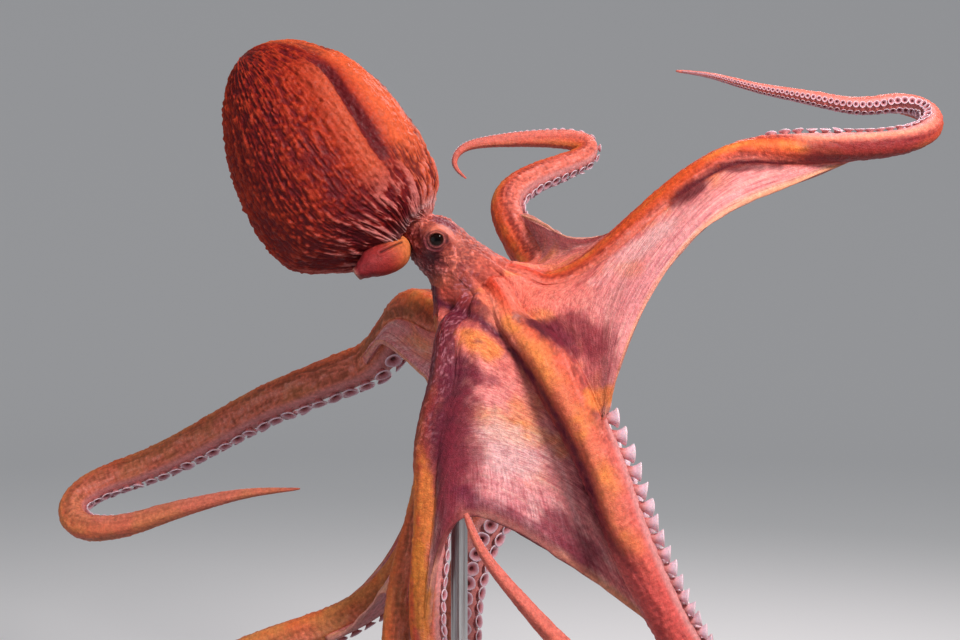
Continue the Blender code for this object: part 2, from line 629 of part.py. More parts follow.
def main():
    for ob in list(bpy.data.objects):
        bpy.data.objects.remove(ob, do_unlink=True)
    for col in (ANIMAL, CUTTERS):
        bpy.context.scene.collection.children.link(col)
    mats = dict(
        skin=material("skin_red", (0.55, 0.16, 0.09), 0.45),
        eye=material("eye_dark", (0.02, 0.015, 0.015), 0.15),
        base=material("stand_grey", (0.18, 0.18, 0.19), 0.5),
        rod=material("rod_steel", (0.6, 0.6, 0.6), 0.3, 1.0))
    lay_out_arms()
    grids = make_arms(mats)
    make_webs(mats, grids)
    head = make_head(mats, grids)
    mantle = make_mantle(mats)
    siphon, envelope = make_siphon(mats)
    for side, name in ((1, "eye_right"), (-1, "eye_left")):
        ball(name, eye_centre(side), EYE_R, mats["eye"], ANIMAL)
        socket = ball("socket_" + name, eye_centre(side), EYE_R + FIT_GAP, mats["eye"], CUTTERS)
        hide_cutter(socket)
        cut(head, socket)
    cut(head, envelope)
    cut(mantle, envelope)
    flesh = [o for o in ANIMAL.objects if not o.name.startswith("eye")]
    make_stand(mats, flesh)


main()
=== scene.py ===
"""Looks of the giant Pacific octopus on its display stand.

One skin covers the mantle, head, arms and webs without a seam, and carries the
siphon.  It starts as a coarse cage of the same sections and routes as the CAD
blocks, is subdivided, and is then carved (folds, papillae, lids) and painted by
functions of where a point lies on the animal.  Suckers and eyeballs are pieces
of their own, and the stand keeps its CAD solids.
"""
import math

import bpy
import bmesh
import numpy as np
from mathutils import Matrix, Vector


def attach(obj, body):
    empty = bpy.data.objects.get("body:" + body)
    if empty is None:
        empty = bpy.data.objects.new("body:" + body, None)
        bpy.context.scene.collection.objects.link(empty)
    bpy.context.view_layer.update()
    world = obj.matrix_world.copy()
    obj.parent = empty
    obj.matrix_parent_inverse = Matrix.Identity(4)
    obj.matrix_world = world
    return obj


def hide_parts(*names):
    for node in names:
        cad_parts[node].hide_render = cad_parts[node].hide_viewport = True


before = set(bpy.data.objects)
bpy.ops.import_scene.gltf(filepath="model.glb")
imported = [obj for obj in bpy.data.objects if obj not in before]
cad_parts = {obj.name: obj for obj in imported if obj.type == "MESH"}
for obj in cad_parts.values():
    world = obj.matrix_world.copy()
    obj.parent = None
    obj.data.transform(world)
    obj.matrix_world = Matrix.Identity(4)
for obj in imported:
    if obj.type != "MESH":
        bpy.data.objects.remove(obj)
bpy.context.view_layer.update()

MM = 0.001

# ------------------------------------------------------------ main sizes
CROWN = np.array((0.085, -0.025, 0.800))   # centre of the ring of arm roots
RING_DV, RING_LAT = 0.046, 0.050           # ring radii, dorsal and sideways
ARM_R = 0.036              # half width that a long arm grows towards
ARM_FALL = 0.45            # length over which it does so, from the tip
ARM_TIP = 0.0016           # half width of the very tip
ARM_TALL = 0.96            # an arm's height over its width
ORAL_FLAT = 0.86           # how much flatter the sucker face is
ROOT_HIGH, ROOT_RISE = 0.019, 0.13         # half height at the crown, and its gain per metre
ARM_ROOM = 0.40            # share of the way to the next arm that an arm may fill
LEAVE_AXIS, LEAVE_OUT = 0.45, 0.90         # direction in which arms leave the crown
ROUTE_EASE = 0.012         # length over which kinks of a route are eased
EYE_R = 0.0155
MANTLE_FLAT = 0.92         # sideways over dorso-ventral width
MOUTH_DEEP = 0.030         # from the crown's centre to the mouth

# head axis (towards the mouth), dorsal direction, animal's right
AXIS = np.array((0.676, 0.0, -0.737))
DORSAL = np.array((0.737, 0.0, 0.676))
RIGHT = np.array((0.0, -1.0, 0.0))
NECK = CROWN + np.array((-0.080, 0.0, 0.087))
MANTLE_U = np.array((-0.69, 0.0, 0.724))   # from the neck to the apex
MANTLE_V = np.array((-0.724, 0.0, -0.69))  # towards the belly

# ------------------------------------------------------------ grid
STEP = 5                   # rows of the skin for each row in WEBS
N_ARM, N_WEB = 9, 11       # columns on an arm's outer face, inside a web
ROWS_WEB, ROWS_FREE = 9 * STEP, 60
# where a web's columns lie between its arms, closer together near them
WEB_SHARES = 0.5 - 0.5 * np.cos(np.pi * np.arange(1, N_WEB + 1) / (N_WEB + 1))
MANTLE_ROWS = np.r_[12, np.arange(18, 268, 5.6), 270, 275, 280, 284.5, 288.5, 292]   # mm from the neck
# The mouth's rings: share of the way out to the crown, and height (mm).
MOUTH_RINGS = ((0.82, 4), (0.64, 6), (0.47, 6), (0.34, 3), (0.25, 0), (0.19, 1), (0.15, 5), (0.10, 4),
               (0.06, -6))
SIPHON_ROWS, SIPHON_SPOKES = 22, 40
EYE_RINGS, EYE_SPOKES = 47, 96
SKIN_LEVELS = 2            # times that the skin's cage is subdivided
DENSE, FINE = 801, 4000    # points of an arm's centre line, and of the curve it is read from
FACET = 78.0               # degrees from the arm's crest to its flank

# Routes of the arms, millimetres from the crown's centre; web is how far the
# web is joined to the arm (m), girth its share of the full width, tip the half
# width of its very end if that is not ARM_TIP, turn is (share of the arm,
# degrees of roll).
ARMS = [
    dict(name="r1", web=0.47, girth=0.71,
         turn=((0.34, 0), (0.46, 70), (0.55, 90), (0.64, 100), (0.74, 75), (1, 75)),
         route=((70, -35, 12), (109, -50, 24), (149, -62, 56), (190, -72, 97),
                (238, -76, 136), (292, -78, 162), (351, -78, 169), (405, -75, 172),
                (468, -70, 176), (518, -50, 192), (535, -15, 220), (505, 0, 235),
                (450, -5, 230), (385, -15, 240), (325, -20, 250), (270, -20, 265),
                (230, -20, 270))),
    dict(name="r2", web=0.48, girth=1.0, turn=((0.10, 0), (0.28, 48), (0.6, 55), (0.8, 30), (1, 0)),
         route=((25, -75, -25), (60, -100, -60), (90, -110, -105), (115, -115, -155),
                (138, -115, -205), (156, -115, -255), (178, -110, -305), (203, -100, -355),
                (235, -85, -410), (290, -65, -480), (355, -45, -535), (430, -25, -560),
                (490, -5, -535), (510, 5, -490), (480, 15, -460), (445, 20, -480))),
    dict(name="r3", web=0.40, girth=0.72, tip=0.0034, turn=((0.15, 0), (0.35, 55), (0.6, 75), (1, 0)),
         route=((-43, -82, -46), (-43, -95, -90), (-51, -96, -122), (-58, -96, -152),
                (-60, -94, -195), (-59, -93, -250), (-63, -94, -310), (-65, -95, -375), (-50, -97, -448),
                (-12, -100, -508), (45, -115, -540), (105, -135, -520), (140, -155, -470),
                (125, -170, -420), (85, -180, -380), (40, -185, -330), (0, -190, -280),
                (-15, -190, -250), (-20, -190, -235))),
    dict(name="r4", web=0.34, girth=0.74, turn=((0, 0), (1, 0)),
         route=((-41, -25, -62), (-48, -28, -115), (-53, -28, -165), (-62, -31, -216),
                (-73, -36, -263), (-87, -42, -310), (-98, -50, -357), (-103, -57, -415),
                (-107, -65, -470), (-130, -75, -525), (-175, -85, -560), (-235, -95, -570),
                (-295, -100, -555), (-330, -105, -515), (-320, -105, -465), (-280, -100, -455),
                (-260, -95, -480))),
    dict(name="l4", web=0.46, girth=0.82, turn=((0, 0), (1, 0)),
         route=((-45, 40, -70), (-50, 55, -120), (-54, 65, -180), (-63, 70, -250),
                (-88, 72, -322), (-130, 70, -376), (-184, 66, -408), (-245, 66, -428),
                (-310, 72, -452), (-380, 88, -490), (-445, 112, -548), (-475, 130, -620),
                (-435, 140, -670), (-370, 145, -665), (-335, 150, -625), (-355, 150, -585))),
    dict(name="l3", web=0.30, girth=1.0, turn=((0, 0), (1, 0)),
         route=((-38, 95, -34), (-68, 136, -16), (-98, 172, -16), (-122, 202, -50),
                (-150, 222, -84), (-196, 238, -104), (-250, 255, -125), (-310, 275, -150), (-375, 295, -185),
                (-440, 310, -220), (-500, 320, -246), (-552, 319, -264), (-590, 302, -292),
                (-572, 276, -320), (-510, 260, -318), (-425, 250, -292), (-335, 242, -270),
                (-255, 235, -262))),
    dict(name="l2", web=0.30, girth=1.0, turn=((0, 0), (1, 0)),
         route=((45, 90, -25), (85, 135, -55), (115, 170, -105), (110, 190, -165),
                (75, 200, -220), (30, 200, -270), (-5, 195, -320), (-25, 185, -380),
                (-30, 170, -450), (-20, 155, -530), (15, 140, -590), (75, 130, -620),
                (145, 130, -615), (195, 140, -580), (205, 150, -535), (175, 155, -510),
                (145, 160, -530))),
    dict(name="l1", web=0.22, girth=1.0, turn=((0, 0), (1, 0)),
         route=((58, 62, 28), (72, 112, 38), (62, 160, 62), (38, 200, 100),
                (32, 230, 135), (55, 258, 162), (95, 280, 183), (145, 305, 205), (155, 320, 225),
                (125, 325, 235), (70, 320, 235), (15, 310, 230), (-30, 300, 220),
                (-45, 295, 195), (-25, 295, 175))),
]
# Webs, each from the arm named to the next one round: the rows at which the
# free edge meets the first and the second arm, how far the edge is drawn in,
# how fast it leaves either arm, and how far the sheet bellies outwards
# (share of its width).
WEBS = {
    "r1": (9, 4, 0.37, 5.0, 4.0, 0.04), "r2": (9, 9, 0.40, 2.2, 8.0, 0.05),
    "r3": (9, 9, 0.30, 3.0, 3.0, 0.02), "r4": (9, 9, 0.10, 2.5, 2.5, 0.03),
    "l4": (9, 8, 0.74, 7.0, 4.0, 0.04), "l3": (9, 9, 0.42, 3.0, 3.0, 0.05),
    "l2": (6, 9, 0.40, 3.0, 3.0, 0.03), "l1": (9, 3, 0.40, 3.0, 3.0, 0.03),
}
ROOT_FILL = 0.011          # what the webs' roots stand proud of a thin sheet
WEB_HALF = 0.0014          # half thickness of a web at its middle
WEB_PULL = 0.55            # how far a web runs on in the direction in which it leaves an arm

# Head stations: distance from the neck towards the mouth, dorsal edge,
# ventral edge, half width (all mm).
HEAD = ((-14, 18, -21, 27), (0, 20.5, -24, 30), (15, 30, -27, 40), (30, 35, -31, 45),
        (48, 37, -33, 46), (66, 40, -38, 49), (80, 46, -49, 54))
# Mantle stations: distance from the neck, centre's shift to the belly, half
# height (all mm).
MANTLE = ((0, 24, 49), (12, 24, 66), (24, 25, 82), (54, 35, 105), (73, 36, 114),
          (105, 33, 118), (134, 29, 117), (158, 25, 113), (209, 18, 97),
          (247, 14, 73), (270, 12, 52), (288, 11, 25), (295, 10, 0))
# Siphon: mm along mantle_u, mantle_v and to the right; outer radius.
SIPHON = ((8, 38, 3, 16), (-4, 41, 20, 20), (-5, 50, 36, 21), (0, 70, 46, 18.5),
          (4, 92, 46, 15))
SIPHON_WALL = 0.0035
EYE_AT = (31.0, 4.0, 38.5)                 # mm: along, dorsal, sideways
EYE_MOUND, EYE_SPREAD = 0.006, 0.017       # height and radius of the eye's mound
HEAD_JOIN, HEAD_EASE = 70.0, 0.030         # mm: where the crown meets the head; m: ease

COLLAR_SHUT, COLLAR_OPEN = 118, 84         # degrees from the belly
COLLAR_DEPTH, COLLAR_FRILL = 13.0, 1.1     # mm

MELT = (0.03, 0.15)        # m along an arm over which its root melts into the webs
MELT_ROUNDS = 110          # rounds of filling the hollows between roots and webs
THROAT_OUT = 62.0          # mm: how far the skin below the head lies in front of the crown's centre
THROAT_Y, THROAT_Z = (-15, 62), (-22, 34)  # mm: middle and reach of the part that is filled
LID_LONG, LID_HIGH, LID_DROOP = 8.2, 8.0, 0.10   # the eye's opening: half axes, mm; upper lid's droop
SIPHON_SLIT = ((-121, 51), (-97, 64))      # mm from the crown: x and z of the slit's ends
# The ridge up either flank of the mantle: m from the neck, degrees from the belly.
MANTLE_RIDGE = ((0.04, 0.072, 0.111, 0.15, 0.192), (116, 115, 117, 119, 124))
# The ridge from the head down the second right arm, mm from the crown.
ARM_RIDGE = ((-46, -30, 6), (-22, -62, -6), (0, -86, -15), (25, -97, -34), (46, -110, -58), (66, -122, -86),
             (86, -126, -118), (103, -126, -150), (122, -124, -188), (134, -122, -222), (150, -120, -262),
             (175, -116, -297), (206, -108, -340))
LEFTWARD = np.array((-0.8, 0.0, -0.6))     # the side of that ridge where a crease follows it

# Suckers: first one's distance from the crown (m), radius over the arm's half
# width, degrees between the middle line and either row; the radius and height
# of each ring of a sucker, from its foot over the rim to the bottom of the cup
# (shares of its radius); and each ring's colour, darker at the foot, pale at the rim
# and darker down into the cup, the cup's dark being painted shade.
SUCKER_START, SUCKER_SIZE, SUCKER_SPREAD = 0.030, 0.40, 26.0
SUCKER = ((0.50, -0.55), (0.46, -0.10), (0.52, 0.12), (0.80, 0.34), (0.98, 0.44), (1.00, 0.52),
          (0.93, 0.57), (0.74, 0.50), (0.52, 0.34), (0.34, 0.26), (0.24, 0.10), (0.0, 0.04))
SUCKER_BELL = ((0.66, -0.60), (0.58, -0.15), (0.55, 0.15), (0.60, 0.45), (0.76, 0.76), (0.95, 1.02),
               (1.00, 1.12), (0.94, 1.18), (0.76, 1.10), (0.54, 0.84), (0.36, 0.64), (0.0, 0.54))
# pale at the rim; the last colours darken down into the cup as painted shade
SUCKER_TINTS = ("a04a44", "b75f5c", "c9807f", "d9a3ad", "e4c1cf", "ead0da",
                "e6c6d2", "d09aa6", "b8747c", "a0565c", "5c2026", "48141a")
SUCKER_LEAST = 0.0007      # m: radius below which there are none
SUCKER_PACE = 1.06         # way from one to the next, over its radius

# What single arms show.  melt: as MELT.  crest and suckers: distances along the
# arm, and the degrees at which the crest and the middle of the sucker rows lie
# there.  pace and tilt: sucker spacing, and lean towards the tip.  flat, ridge,
# dark, brown: how smooth, ridged, dark-netted and brown it is.  comb: how much
# the fine lines of the web after it turn outwards at its rim.
LOOKS = {
    "r1": dict(melt=(0.20, 0.38), flat=0.9, comb=0.15,
               suckers=((0.33, 0.37, 0.43, 0.48), (180, 236, 236, 200))),
    "r3": dict(melt=(0.05, 0.20), dark=1.0),
    "r2": dict(melt=(0.03, 0.13), ridge=1.0, profile=SUCKER_BELL, pace=0.93, tilt=0.45,
               crest=((0.02, 0.05, 0.08, 0.124, 0.19, 0.26, 0.319, 0.36, 0.41, 0.60),
                      (34, 20, 12, 5, -12, -22, -31, -44, -52, -20)),
               suckers=((0.10, 0.20, 0.45, 0.65), (180, 204, 206, 190))),
    "r4": dict(brown=0.8), "l4": dict(brown=0.9), "l3": dict(brown=0.55), "l2": dict(brown=0.3),
}
# Colours of the skin that go by a name.
RED, ORANGE, GOLD, SALMON = "c1301c", "d9501f", "f0863f", "e8644c"
PINK, LILAC, MAROON, PURPLE = "f09090", "dd9aa8", "5c0c18", "7a1f38"
PALE, CREAM, SHADOW, DARK_NET = "f4c4c4", "f6cdb8", "2a0710", "641a30"

# The studio's floor, a bowl: how far out it is flat, the radius of its rising
# curve, and the top of its wall (m); and where the camera stands.
BOWL_FLAT, BOWL_CURVE, BOWL_HIGH = 6.0, 6.0, 14.0
CAMERA_FROM_CROWN = (-0.004845, -1.615, -0.027859)


def hermite(t, a, b, da, db):
    """A curve from a to b that leaves along da and arrives along db."""
    return ((2 * t**3 - 3 * t**2 + 1) * a + (3 * t**2 - 2 * t**3) * b
            + (t**3 - 2 * t**2 + t) * da + (t**3 - t**2) * db)


def smooth_table(x, rows):
    """Catmull-Rom through rows of (x, values...), as one array of values."""
    rows = np.array(rows, dtype=float)
    xs, ys = rows[:, 0], rows[:, 1:]
    m = np.empty_like(ys)
    m[1:-1] = (ys[2:] - ys[:-2]) / (xs[2:] - xs[:-2])[:, None]
    m[0] = (ys[1] - ys[0]) / (xs[1] - xs[0])
    m[-1] = (ys[-1] - ys[-2]) / (xs[-1] - xs[-2])
    x = np.clip(np.atleast_1d(x), xs[0], xs[-1])
    i = np.clip(np.searchsorted(xs, x, side="right") - 1, 0, len(xs) - 2)
    h = xs[i + 1] - xs[i]
    t = ((x - xs[i]) / h)[:, None]
    h = h[:, None]
    return hermite(t, ys[i], ys[i + 1], h * m[i], h * m[i + 1])


def rows_at(x, xs, rows):
    """Points given in rows at xs, interpolated at x."""
    return np.array([np.interp(x, xs, rows[:, a]) for a in range(3)]).T


def unit(v):
    return v / np.maximum(np.linalg.norm(v, axis=-1, keepdims=True), 1e-12)


def perp(v, t):
    """The part of v square to the unit tangents t, made unit."""
    return unit(v - (v * t).sum(-1, keepdims=True) * t)


def soft_min(a, b):
    """The smaller of two lengths, rounded where they are alike."""
    return (a ** -4 + b ** -4) ** -0.25


# ------------------------------------------------------------ arms

def ring_angle(i):
    return math.radians(22.5 + 45.0 * i)


def centre_line(i, arm):
    """Gives an arm its length, and the points and directions of its centre line."""
    al = ring_angle(i)
    radial = math.cos(al) * DORSAL + math.sin(al) * RIGHT
    start = CROWN + RING_DV * math.cos(al) * DORSAL + RING_LAT * math.sin(al) * RIGHT
    pts = [start] + [CROWN + np.array(p) * MM for p in arm["route"]]
    # a first step that leaves the crown outwards and towards the mouth
    out = unit(LEAVE_AXIS * AXIS + LEAVE_OUT * radial)
    step = np.linalg.norm(pts[1] - start)
    pts.insert(1, start + 0.45 * step * unit(out + unit(pts[1] - start)))
    pts = np.array(pts)
    chord = np.r_[0, np.cumsum(np.sqrt(np.linalg.norm(np.diff(pts, axis=0), axis=1)))]
    fine = smooth_table(np.linspace(0, chord[-1], FINE), np.c_[chord, pts])
    run = np.r_[0, np.cumsum(np.linalg.norm(np.diff(fine, axis=0), axis=1))]
    s = np.linspace(0, run[-1], DENSE)
    c = rows_at(s, run, fine)
    # ease the small kinks of the route, the ends held
    width = int(ROUTE_EASE / (s[1] - s[0]))
    for _ in range(3):
        pad = np.r_[2 * c[0] - c[width:0:-1], c, 2 * c[-1] - c[-2:-width - 2:-1]]
        acc = np.cumsum(np.r_[np.zeros((1, 3)), pad], axis=0)
        c = (acc[2 * width + 1:] - acc[:-2 * width - 1]) / (2 * width + 1)
    arm["length"], arm["s"], arm["c"] = run[-1], s, c
    arm["t"] = unit(np.gradient(c, axis=0))


def cross_sections(i, arm):
    """Gives an arm its sideways and outward directions and its half sizes."""
    nxt, prv = ARMS[(i + 1) % 8], ARMS[(i - 1) % 8]
    share = arm["s"] / arm["web"]

    def beside(other):
        at = np.minimum(share, 1.15) * other["web"]
        return rows_at(at, other["s"], other["c"])
    a_side, b_side = beside(nxt), beside(prv)
    # square to the arm, with one neighbour on either side of it
    across = perp(perp(a_side - arm["c"], arm["t"]) - perp(b_side - arm["c"], arm["t"])
                  + 0.5 * unit(a_side - b_side), arm["t"])
    both = np.concatenate([nxt["c"][::4], prv["c"][::4]])
    gap = np.linalg.norm(arm["c"][:, None] - both[None], axis=2).min(axis=1)
    # past the web the section is carried along without twisting
    last = int(np.searchsorted(arm["s"], arm["web"]))
    for k in range(last, DENSE):
        across[k] = perp(across[k - 1][None], arm["t"][k][None])[0]
    for _ in range(2):
        across[1:-1] = 0.5 * across[1:-1] + 0.25 * (across[2:] + across[:-2])
    across = perp(across, arm["t"])
    out = np.cross(across, arm["t"])
    roll = np.radians(smooth_table(arm["s"] / arm["length"], arm["turn"])[:, :1])
    arm["b"] = np.cos(roll) * across - np.sin(roll) * out
    arm["n"] = np.cos(roll) * out + np.sin(roll) * across
    # half width and half height
    free = arm["length"] - arm["s"]
    tip = arm.get("tip", ARM_TIP)
    grown = arm["girth"] * ARM_R - tip
    blunt = np.sqrt(np.minimum(1, free / 0.004 + 0.02))
    size = tip + grown * (1 - np.exp(-free / ARM_FALL)) * blunt
    room = ARM_ROOM * gap + 0.2 * np.clip(share - 1, 0, 9)
    arm["w"] = soft_min(size, room)
    arm["h"] = ARM_TALL * soft_min(size, ROOT_HIGH + ROOT_RISE * arm["s"])


def lay_out_arms():
    for lay_out in (centre_line, cross_sections):
        for i, arm in enumerate(ARMS):
            lay_out(i, arm)


def arm_at(arm, s, key):
    """An arm's points, directions or half sizes at lengths s."""
    v = arm[key]
    return np.interp(s, arm["s"], v) if v.ndim == 1 else rows_at(s, arm["s"], v)


def look_of(arm, key, default):
    """What LOOKS says of an arm, or else the default."""
    return LOOKS.get(arm["name"], {}).get(key, default)


def look_at(arm, s, key, default):
    """A look that changes along the arm, at lengths s."""
    return np.interp(s, *look_of(arm, key, ((0,), (default,))))


def section(arm, s, phi):
    """Points of the arm's skin at lengths s, at the angle phi from its crest."""
    c, b, n = (arm_at(arm, s, k) for k in "cbn")
    w, h = arm_at(arm, s, "w")[:, None], arm_at(arm, s, "h")[:, None]
    cs = math.cos(phi)
    if cs < 0:
        cs *= ORAL_FLAT
    return c + w * math.sin(phi) * b + h * cs * n


def arm_rows(arm):
    a = arm["web"] * np.arange(ROWS_WEB + 1) / ROWS_WEB
    # beyond the web the rows gather where the arm bends
    s, t = arm["s"], arm["t"]
    bend = np.linalg.norm(np.gradient(t, axis=0), axis=1) / (s[1] - s[0])
    load = np.cumsum((s >= arm["web"]) * (1 + 0.055 * bend))
    b = np.interp(load[-1] * np.arange(1, ROWS_FREE + 1) / ROWS_FREE, load, s)
    return np.r_[a, b]


def arm_grid(arm):
    """Outer and inner faces of an arm: arrays (row, column, xyz)."""
    s = arm_rows(arm)
    face = np.radians(np.linspace(-FACET, FACET, N_ARM))
    outer = np.stack([section(arm, s, p) for p in face], axis=1)
    under = np.radians(np.linspace(-(180 - FACET), -(180 + FACET), N_ARM))
    inner = np.stack([section(arm, s, p) for p in under], axis=1)
    return outer, inner


# ------------------------------------------------------------ webs
def web_grid(i):
    """Outer and inner faces of the web between arm i and the next."""
    a, b = ARMS[i], ARMS[(i + 1) % 8]
    end_a, end_b, dip, fast_a, fast_b, belly = WEBS[a["name"]]
    end_a, end_b = end_a * STEP, end_b * STEP
    rows = np.arange(ROWS_WEB + 1) / ROWS_WEB
    T, K = np.meshgrid(WEB_SHARES, rows)

    def middle(T, K):
        draw = dip * (1 - (1 - T) ** fast_a) * (1 - T ** fast_b)
        sa = (np.minimum(K, end_a / ROWS_WEB) * (1 - draw)).ravel() * a["web"]
        sb = (np.minimum(K, end_b / ROWS_WEB) * (1 - draw)).ravel() * b["web"]
        flank = math.radians(90)
        pa = section(a, sa, flank)
        pb = section(b, sb, -flank)
        span = np.linalg.norm(pb - pa, axis=1)[:, None]
        ta, tb = arm_at(a, sa, "b"), arm_at(b, sb, "b")
        na, nb = arm_at(a, sa, "n"), arm_at(b, sb, "n")
        u = T.ravel()[:, None]
        p = (hermite(u, pa, pb, WEB_PULL * span * ta, WEB_PULL * span * tb)
             + 4 * u * (1 - u) * belly * span * unit(na + nb))
        return p.reshape(T.shape + (3,))
    e = 1e-3
    p = middle(T, K)
    dt = middle(T + e, K) - middle(T - e, K)
    ds = middle(T, K + e) - middle(T, np.maximum(K - e, 0))
    n = unit(np.cross(dt, ds))
    # as thick as the arms' flanks where it meets them, thin between them
    flank_a = arm_at(a, np.minimum(rows, end_a / ROWS_WEB) * a["web"], "h")[:, None]
    flank_b = arm_at(b, np.minimum(rows, end_b / ROWS_WEB) * b["web"], "h")[:, None]
    flank = ((1 - T) * flank_a + T * flank_b) * math.cos(math.radians(FACET))
    thin = np.minimum(1, 4 * T * (1 - T)) ** 0.8
    half = (1 - thin) * 0.93 * flank + thin * WEB_HALF
    top = max(end_a, end_b) + 1
    # near the crown the web is thick, so that the arms' roots sink into it
    full = half + ROOT_FILL * thin * (1 - ramp(K, 0.02, 0.34))
    return (p + full[..., None] * n)[:top], (p - half[..., None] * n)[:top]


def eye_centre(side):
    """An eye's centre on the right (1) or the left (-1)."""
    return NECK + MM * (EYE_AT[0] * AXIS + EYE_AT[1] * DORSAL + side * EYE_AT[2] * RIGHT)


def head_point(along, angle):
    """Skin of the head at a distance from the neck (mm), angle from dorsal."""
    d, v, lat = (q[:, None] for q in smooth_table(along, HEAD).T)
    mid, half = 0.5 * (d + v), 0.5 * (d - v)
    ca, sa = np.cos(angle)[:, None], np.sin(angle)[:, None]
    p = NECK + MM * (np.atleast_1d(along)[:, None] * AXIS + (mid + half * ca) * DORSAL + lat * sa * RIGHT)
    # a low mound carries each eye
    for side in (1, -1):
        r = np.linalg.norm(p - eye_centre(side), axis=1)[:, None]
        p = p + EYE_MOUND * np.exp(-(r / EYE_SPREAD) ** 2) * side * RIGHT
    return p


# ------------------------------------------------------------ noise
def lattice(ix, iy, iz, seed):
    """A repeatable number in -1..1 for each lattice point."""
    h = (ix * 73856093) ^ (iy * 19349663) ^ (iz * 83492791)
    h = (h + seed * 1013904223) & 0xFFFFFFFF
    h = ((h ^ (h >> 15)) * 2246822519) & 0xFFFFFFFF
    h = ((h ^ (h >> 13)) * 3266489917) & 0xFFFFFFFF
    return (h ^ (h >> 16)) / 2147483647.5 - 1.0


def noise(p, seed=0):
    """Smooth noise in -1..1 at points p, one lattice point per unit."""
    i = np.floor(p).astype(np.int64)
    f = p - i
    w = f * f * f * (f * (f * 6 - 15) + 10)
    out = 0.0
    for dx in (0, 1):
        wx = w[:, 0] if dx else 1 - w[:, 0]
        for dy in (0, 1):
            wy = w[:, 1] if dy else 1 - w[:, 1]
            for dz in (0, 1):
                wz = w[:, 2] if dz else 1 - w[:, 2]
                out = out + wx * wy * wz * lattice(i[:, 0] + dx, i[:, 1] + dy, i[:, 2] + dz, seed)
    return out


def summed(wave, octaves):
    """Waves number 0, 1, ... added up, each half as strong as the one before."""
    total, amp, norm = 0.0, 1.0, 0.0
    for k in range(octaves):
        total = total + amp * wave(k)
        norm += amp
        amp *= 0.5
    return total / norm


def fbm(p, octaves, seed):
    """Noise with finer noise added to it, in about -1..1."""
    return summed(lambda k: noise(p * 2.03 ** k, seed + 17 * k), octaves)


def crests(p, octaves, seed):
    """1 along thin winding crests, falling away to 0 between them."""
    return summed(lambda k: 1 - np.minimum(1, 2.4 * np.abs(noise(p * 1.9 ** k, seed + 31 * k))), octaves)


def warts(p, seed):
    """Distance to the nearest of one scattered point for each unit cell."""
    i = np.floor(p).astype(np.int64)
    best = np.full(len(p), 9.0)
    for shift in np.ndindex(3, 3, 3):
        c = i + np.array(shift) - 1
        jitter = [lattice(c[:, 0], c[:, 1], c[:, 2], seed + a) for a in (1, 2, 3)]
        q = 0.5 + 0.42 * np.stack(jitter, 1)
        best = np.minimum(best, ((c + q - p) ** 2).sum(1))
    return np.sqrt(best)


def bumps(p, seed, radius, power=1):
    """1 at the top of scattered bumps, 0 outside their radius."""
    return np.clip(1 - warts(p, seed) / radius, 0, 1) ** power


def ramp(x, lo, hi):
    """Smooth step from 0 at lo to 1 at hi."""
    t = np.clip((x - lo) / (hi - lo), 0, 1)
    return t * t * (3 - 2 * t)


def near(x, mid, width):
    """1 at mid, falling off smoothly over the width."""
    return np.exp(-((x - mid) / width) ** 2)


# ------------------------------------------------------------ the cage
# What each point of the skin carries: how much of each part it is (the names
# that end in w), where it lies on that part, whether it is on the under side or
# inside, and its arm's looks.  On an arm, lean and suck are degrees from the
# crest and from the middle of the sucker rows; on the body mu is metres from
# the neck, and mc and ms are cosine and sine of the angle from the belly.
FIELDS = ("armw", "along", "share", "lean", "suck", "side", "up", "size", "webw", "webt", "webk",
          "headw", "mantlew", "mu", "mc", "ms", "siphonw", "under", "inside", "pocket",
          "melt", "flat", "ridge", "dark", "brown", "comb")


class Cage:
    """Vertices that carry named values, and the faces between lines of them."""

    def __init__(self):
        self.v, self.f = [], []
        self.values = {k: [] for k in FIELDS}

    def add(self, points, **values):
        points = np.asarray(points, float)
        shape = points.shape[:-1]
        start = len(self.v)
        self.v.extend(points.reshape(-1, 3).tolist())
        for k in FIELDS:
            self.values[k].extend(np.broadcast_to(values.get(k, 0.0), shape).reshape(-1).tolist())
        return start + np.arange(len(self.v) - start).reshape(shape)

    def strip(self, a, b, wrap=False):
        n = len(a)
        for j in range(n if wrap else n - 1):
            k = (j + 1) % n
            face = []
            for q in (int(a[j]), int(a[k]), int(b[k]), int(b[j])):
                if q not in face:
                    face.append(q)
            if len(face) > 2:
                self.f.append(face)

    def sheet(self, idx, wrap=False):
        for r in range(len(idx) - 1):
            self.strip(idx[r], idx[r + 1], wrap)

    def fan(self, line, tip):
        n = len(line)
        for j in range(n):
            self.f.append([int(line[j]), int(line[(j + 1) % n]), int(tip)])

    def mesh(self, name):
        me = bpy.data.meshes.new(name)
        me.from_pydata(self.v, [], self.f)
        for k in FIELDS:
            layer = me.attributes.new(k, "FLOAT", "POINT")
            layer.data.foreach_set("value", np.array(self.values[k], np.float32))
        bm = bmesh.new()
        bm.from_mesh(me)
        bmesh.ops.delete(bm, geom=[v for v in bm.verts if not v.link_faces], context="VERTS")
        bmesh.ops.recalc_face_normals(bm, faces=bm.faces)
        bm.to_mesh(me)
        bm.free()
        return me


def fill_valleys(me, rounds):
    """Lifts the hollows between arm roots and webs where "melt" says so."""
    v, n = coords(me), normals(me)
    melt = numbers(me, "melt") * (numbers(me, "under") < 0.5)
    ends = np.empty(len(me.edges) * 2, np.int32)
    me.edges.foreach_get("vertices", ends)
    a, b = ends.reshape(-1, 2).T
    links = np.maximum(np.bincount(ends, minlength=len(v)), 1)
    for _ in range(rounds):
        total = [np.bincount(a, v[b, c], len(v)) + np.bincount(b, v[a, c], len(v)) for c in range(3)]
        lift = ((np.stack(total, 1) / links[:, None] - v) * n).sum(1)
        v = v + n * (np.where(lift > 0, 0.8, 0.14) * lift * melt)[:, None]
    set_coords(me, v)


def apart(a, b):
    """Degrees between two directions, 0 to 180."""
    return np.abs((a - b + 180) % 360 - 180)


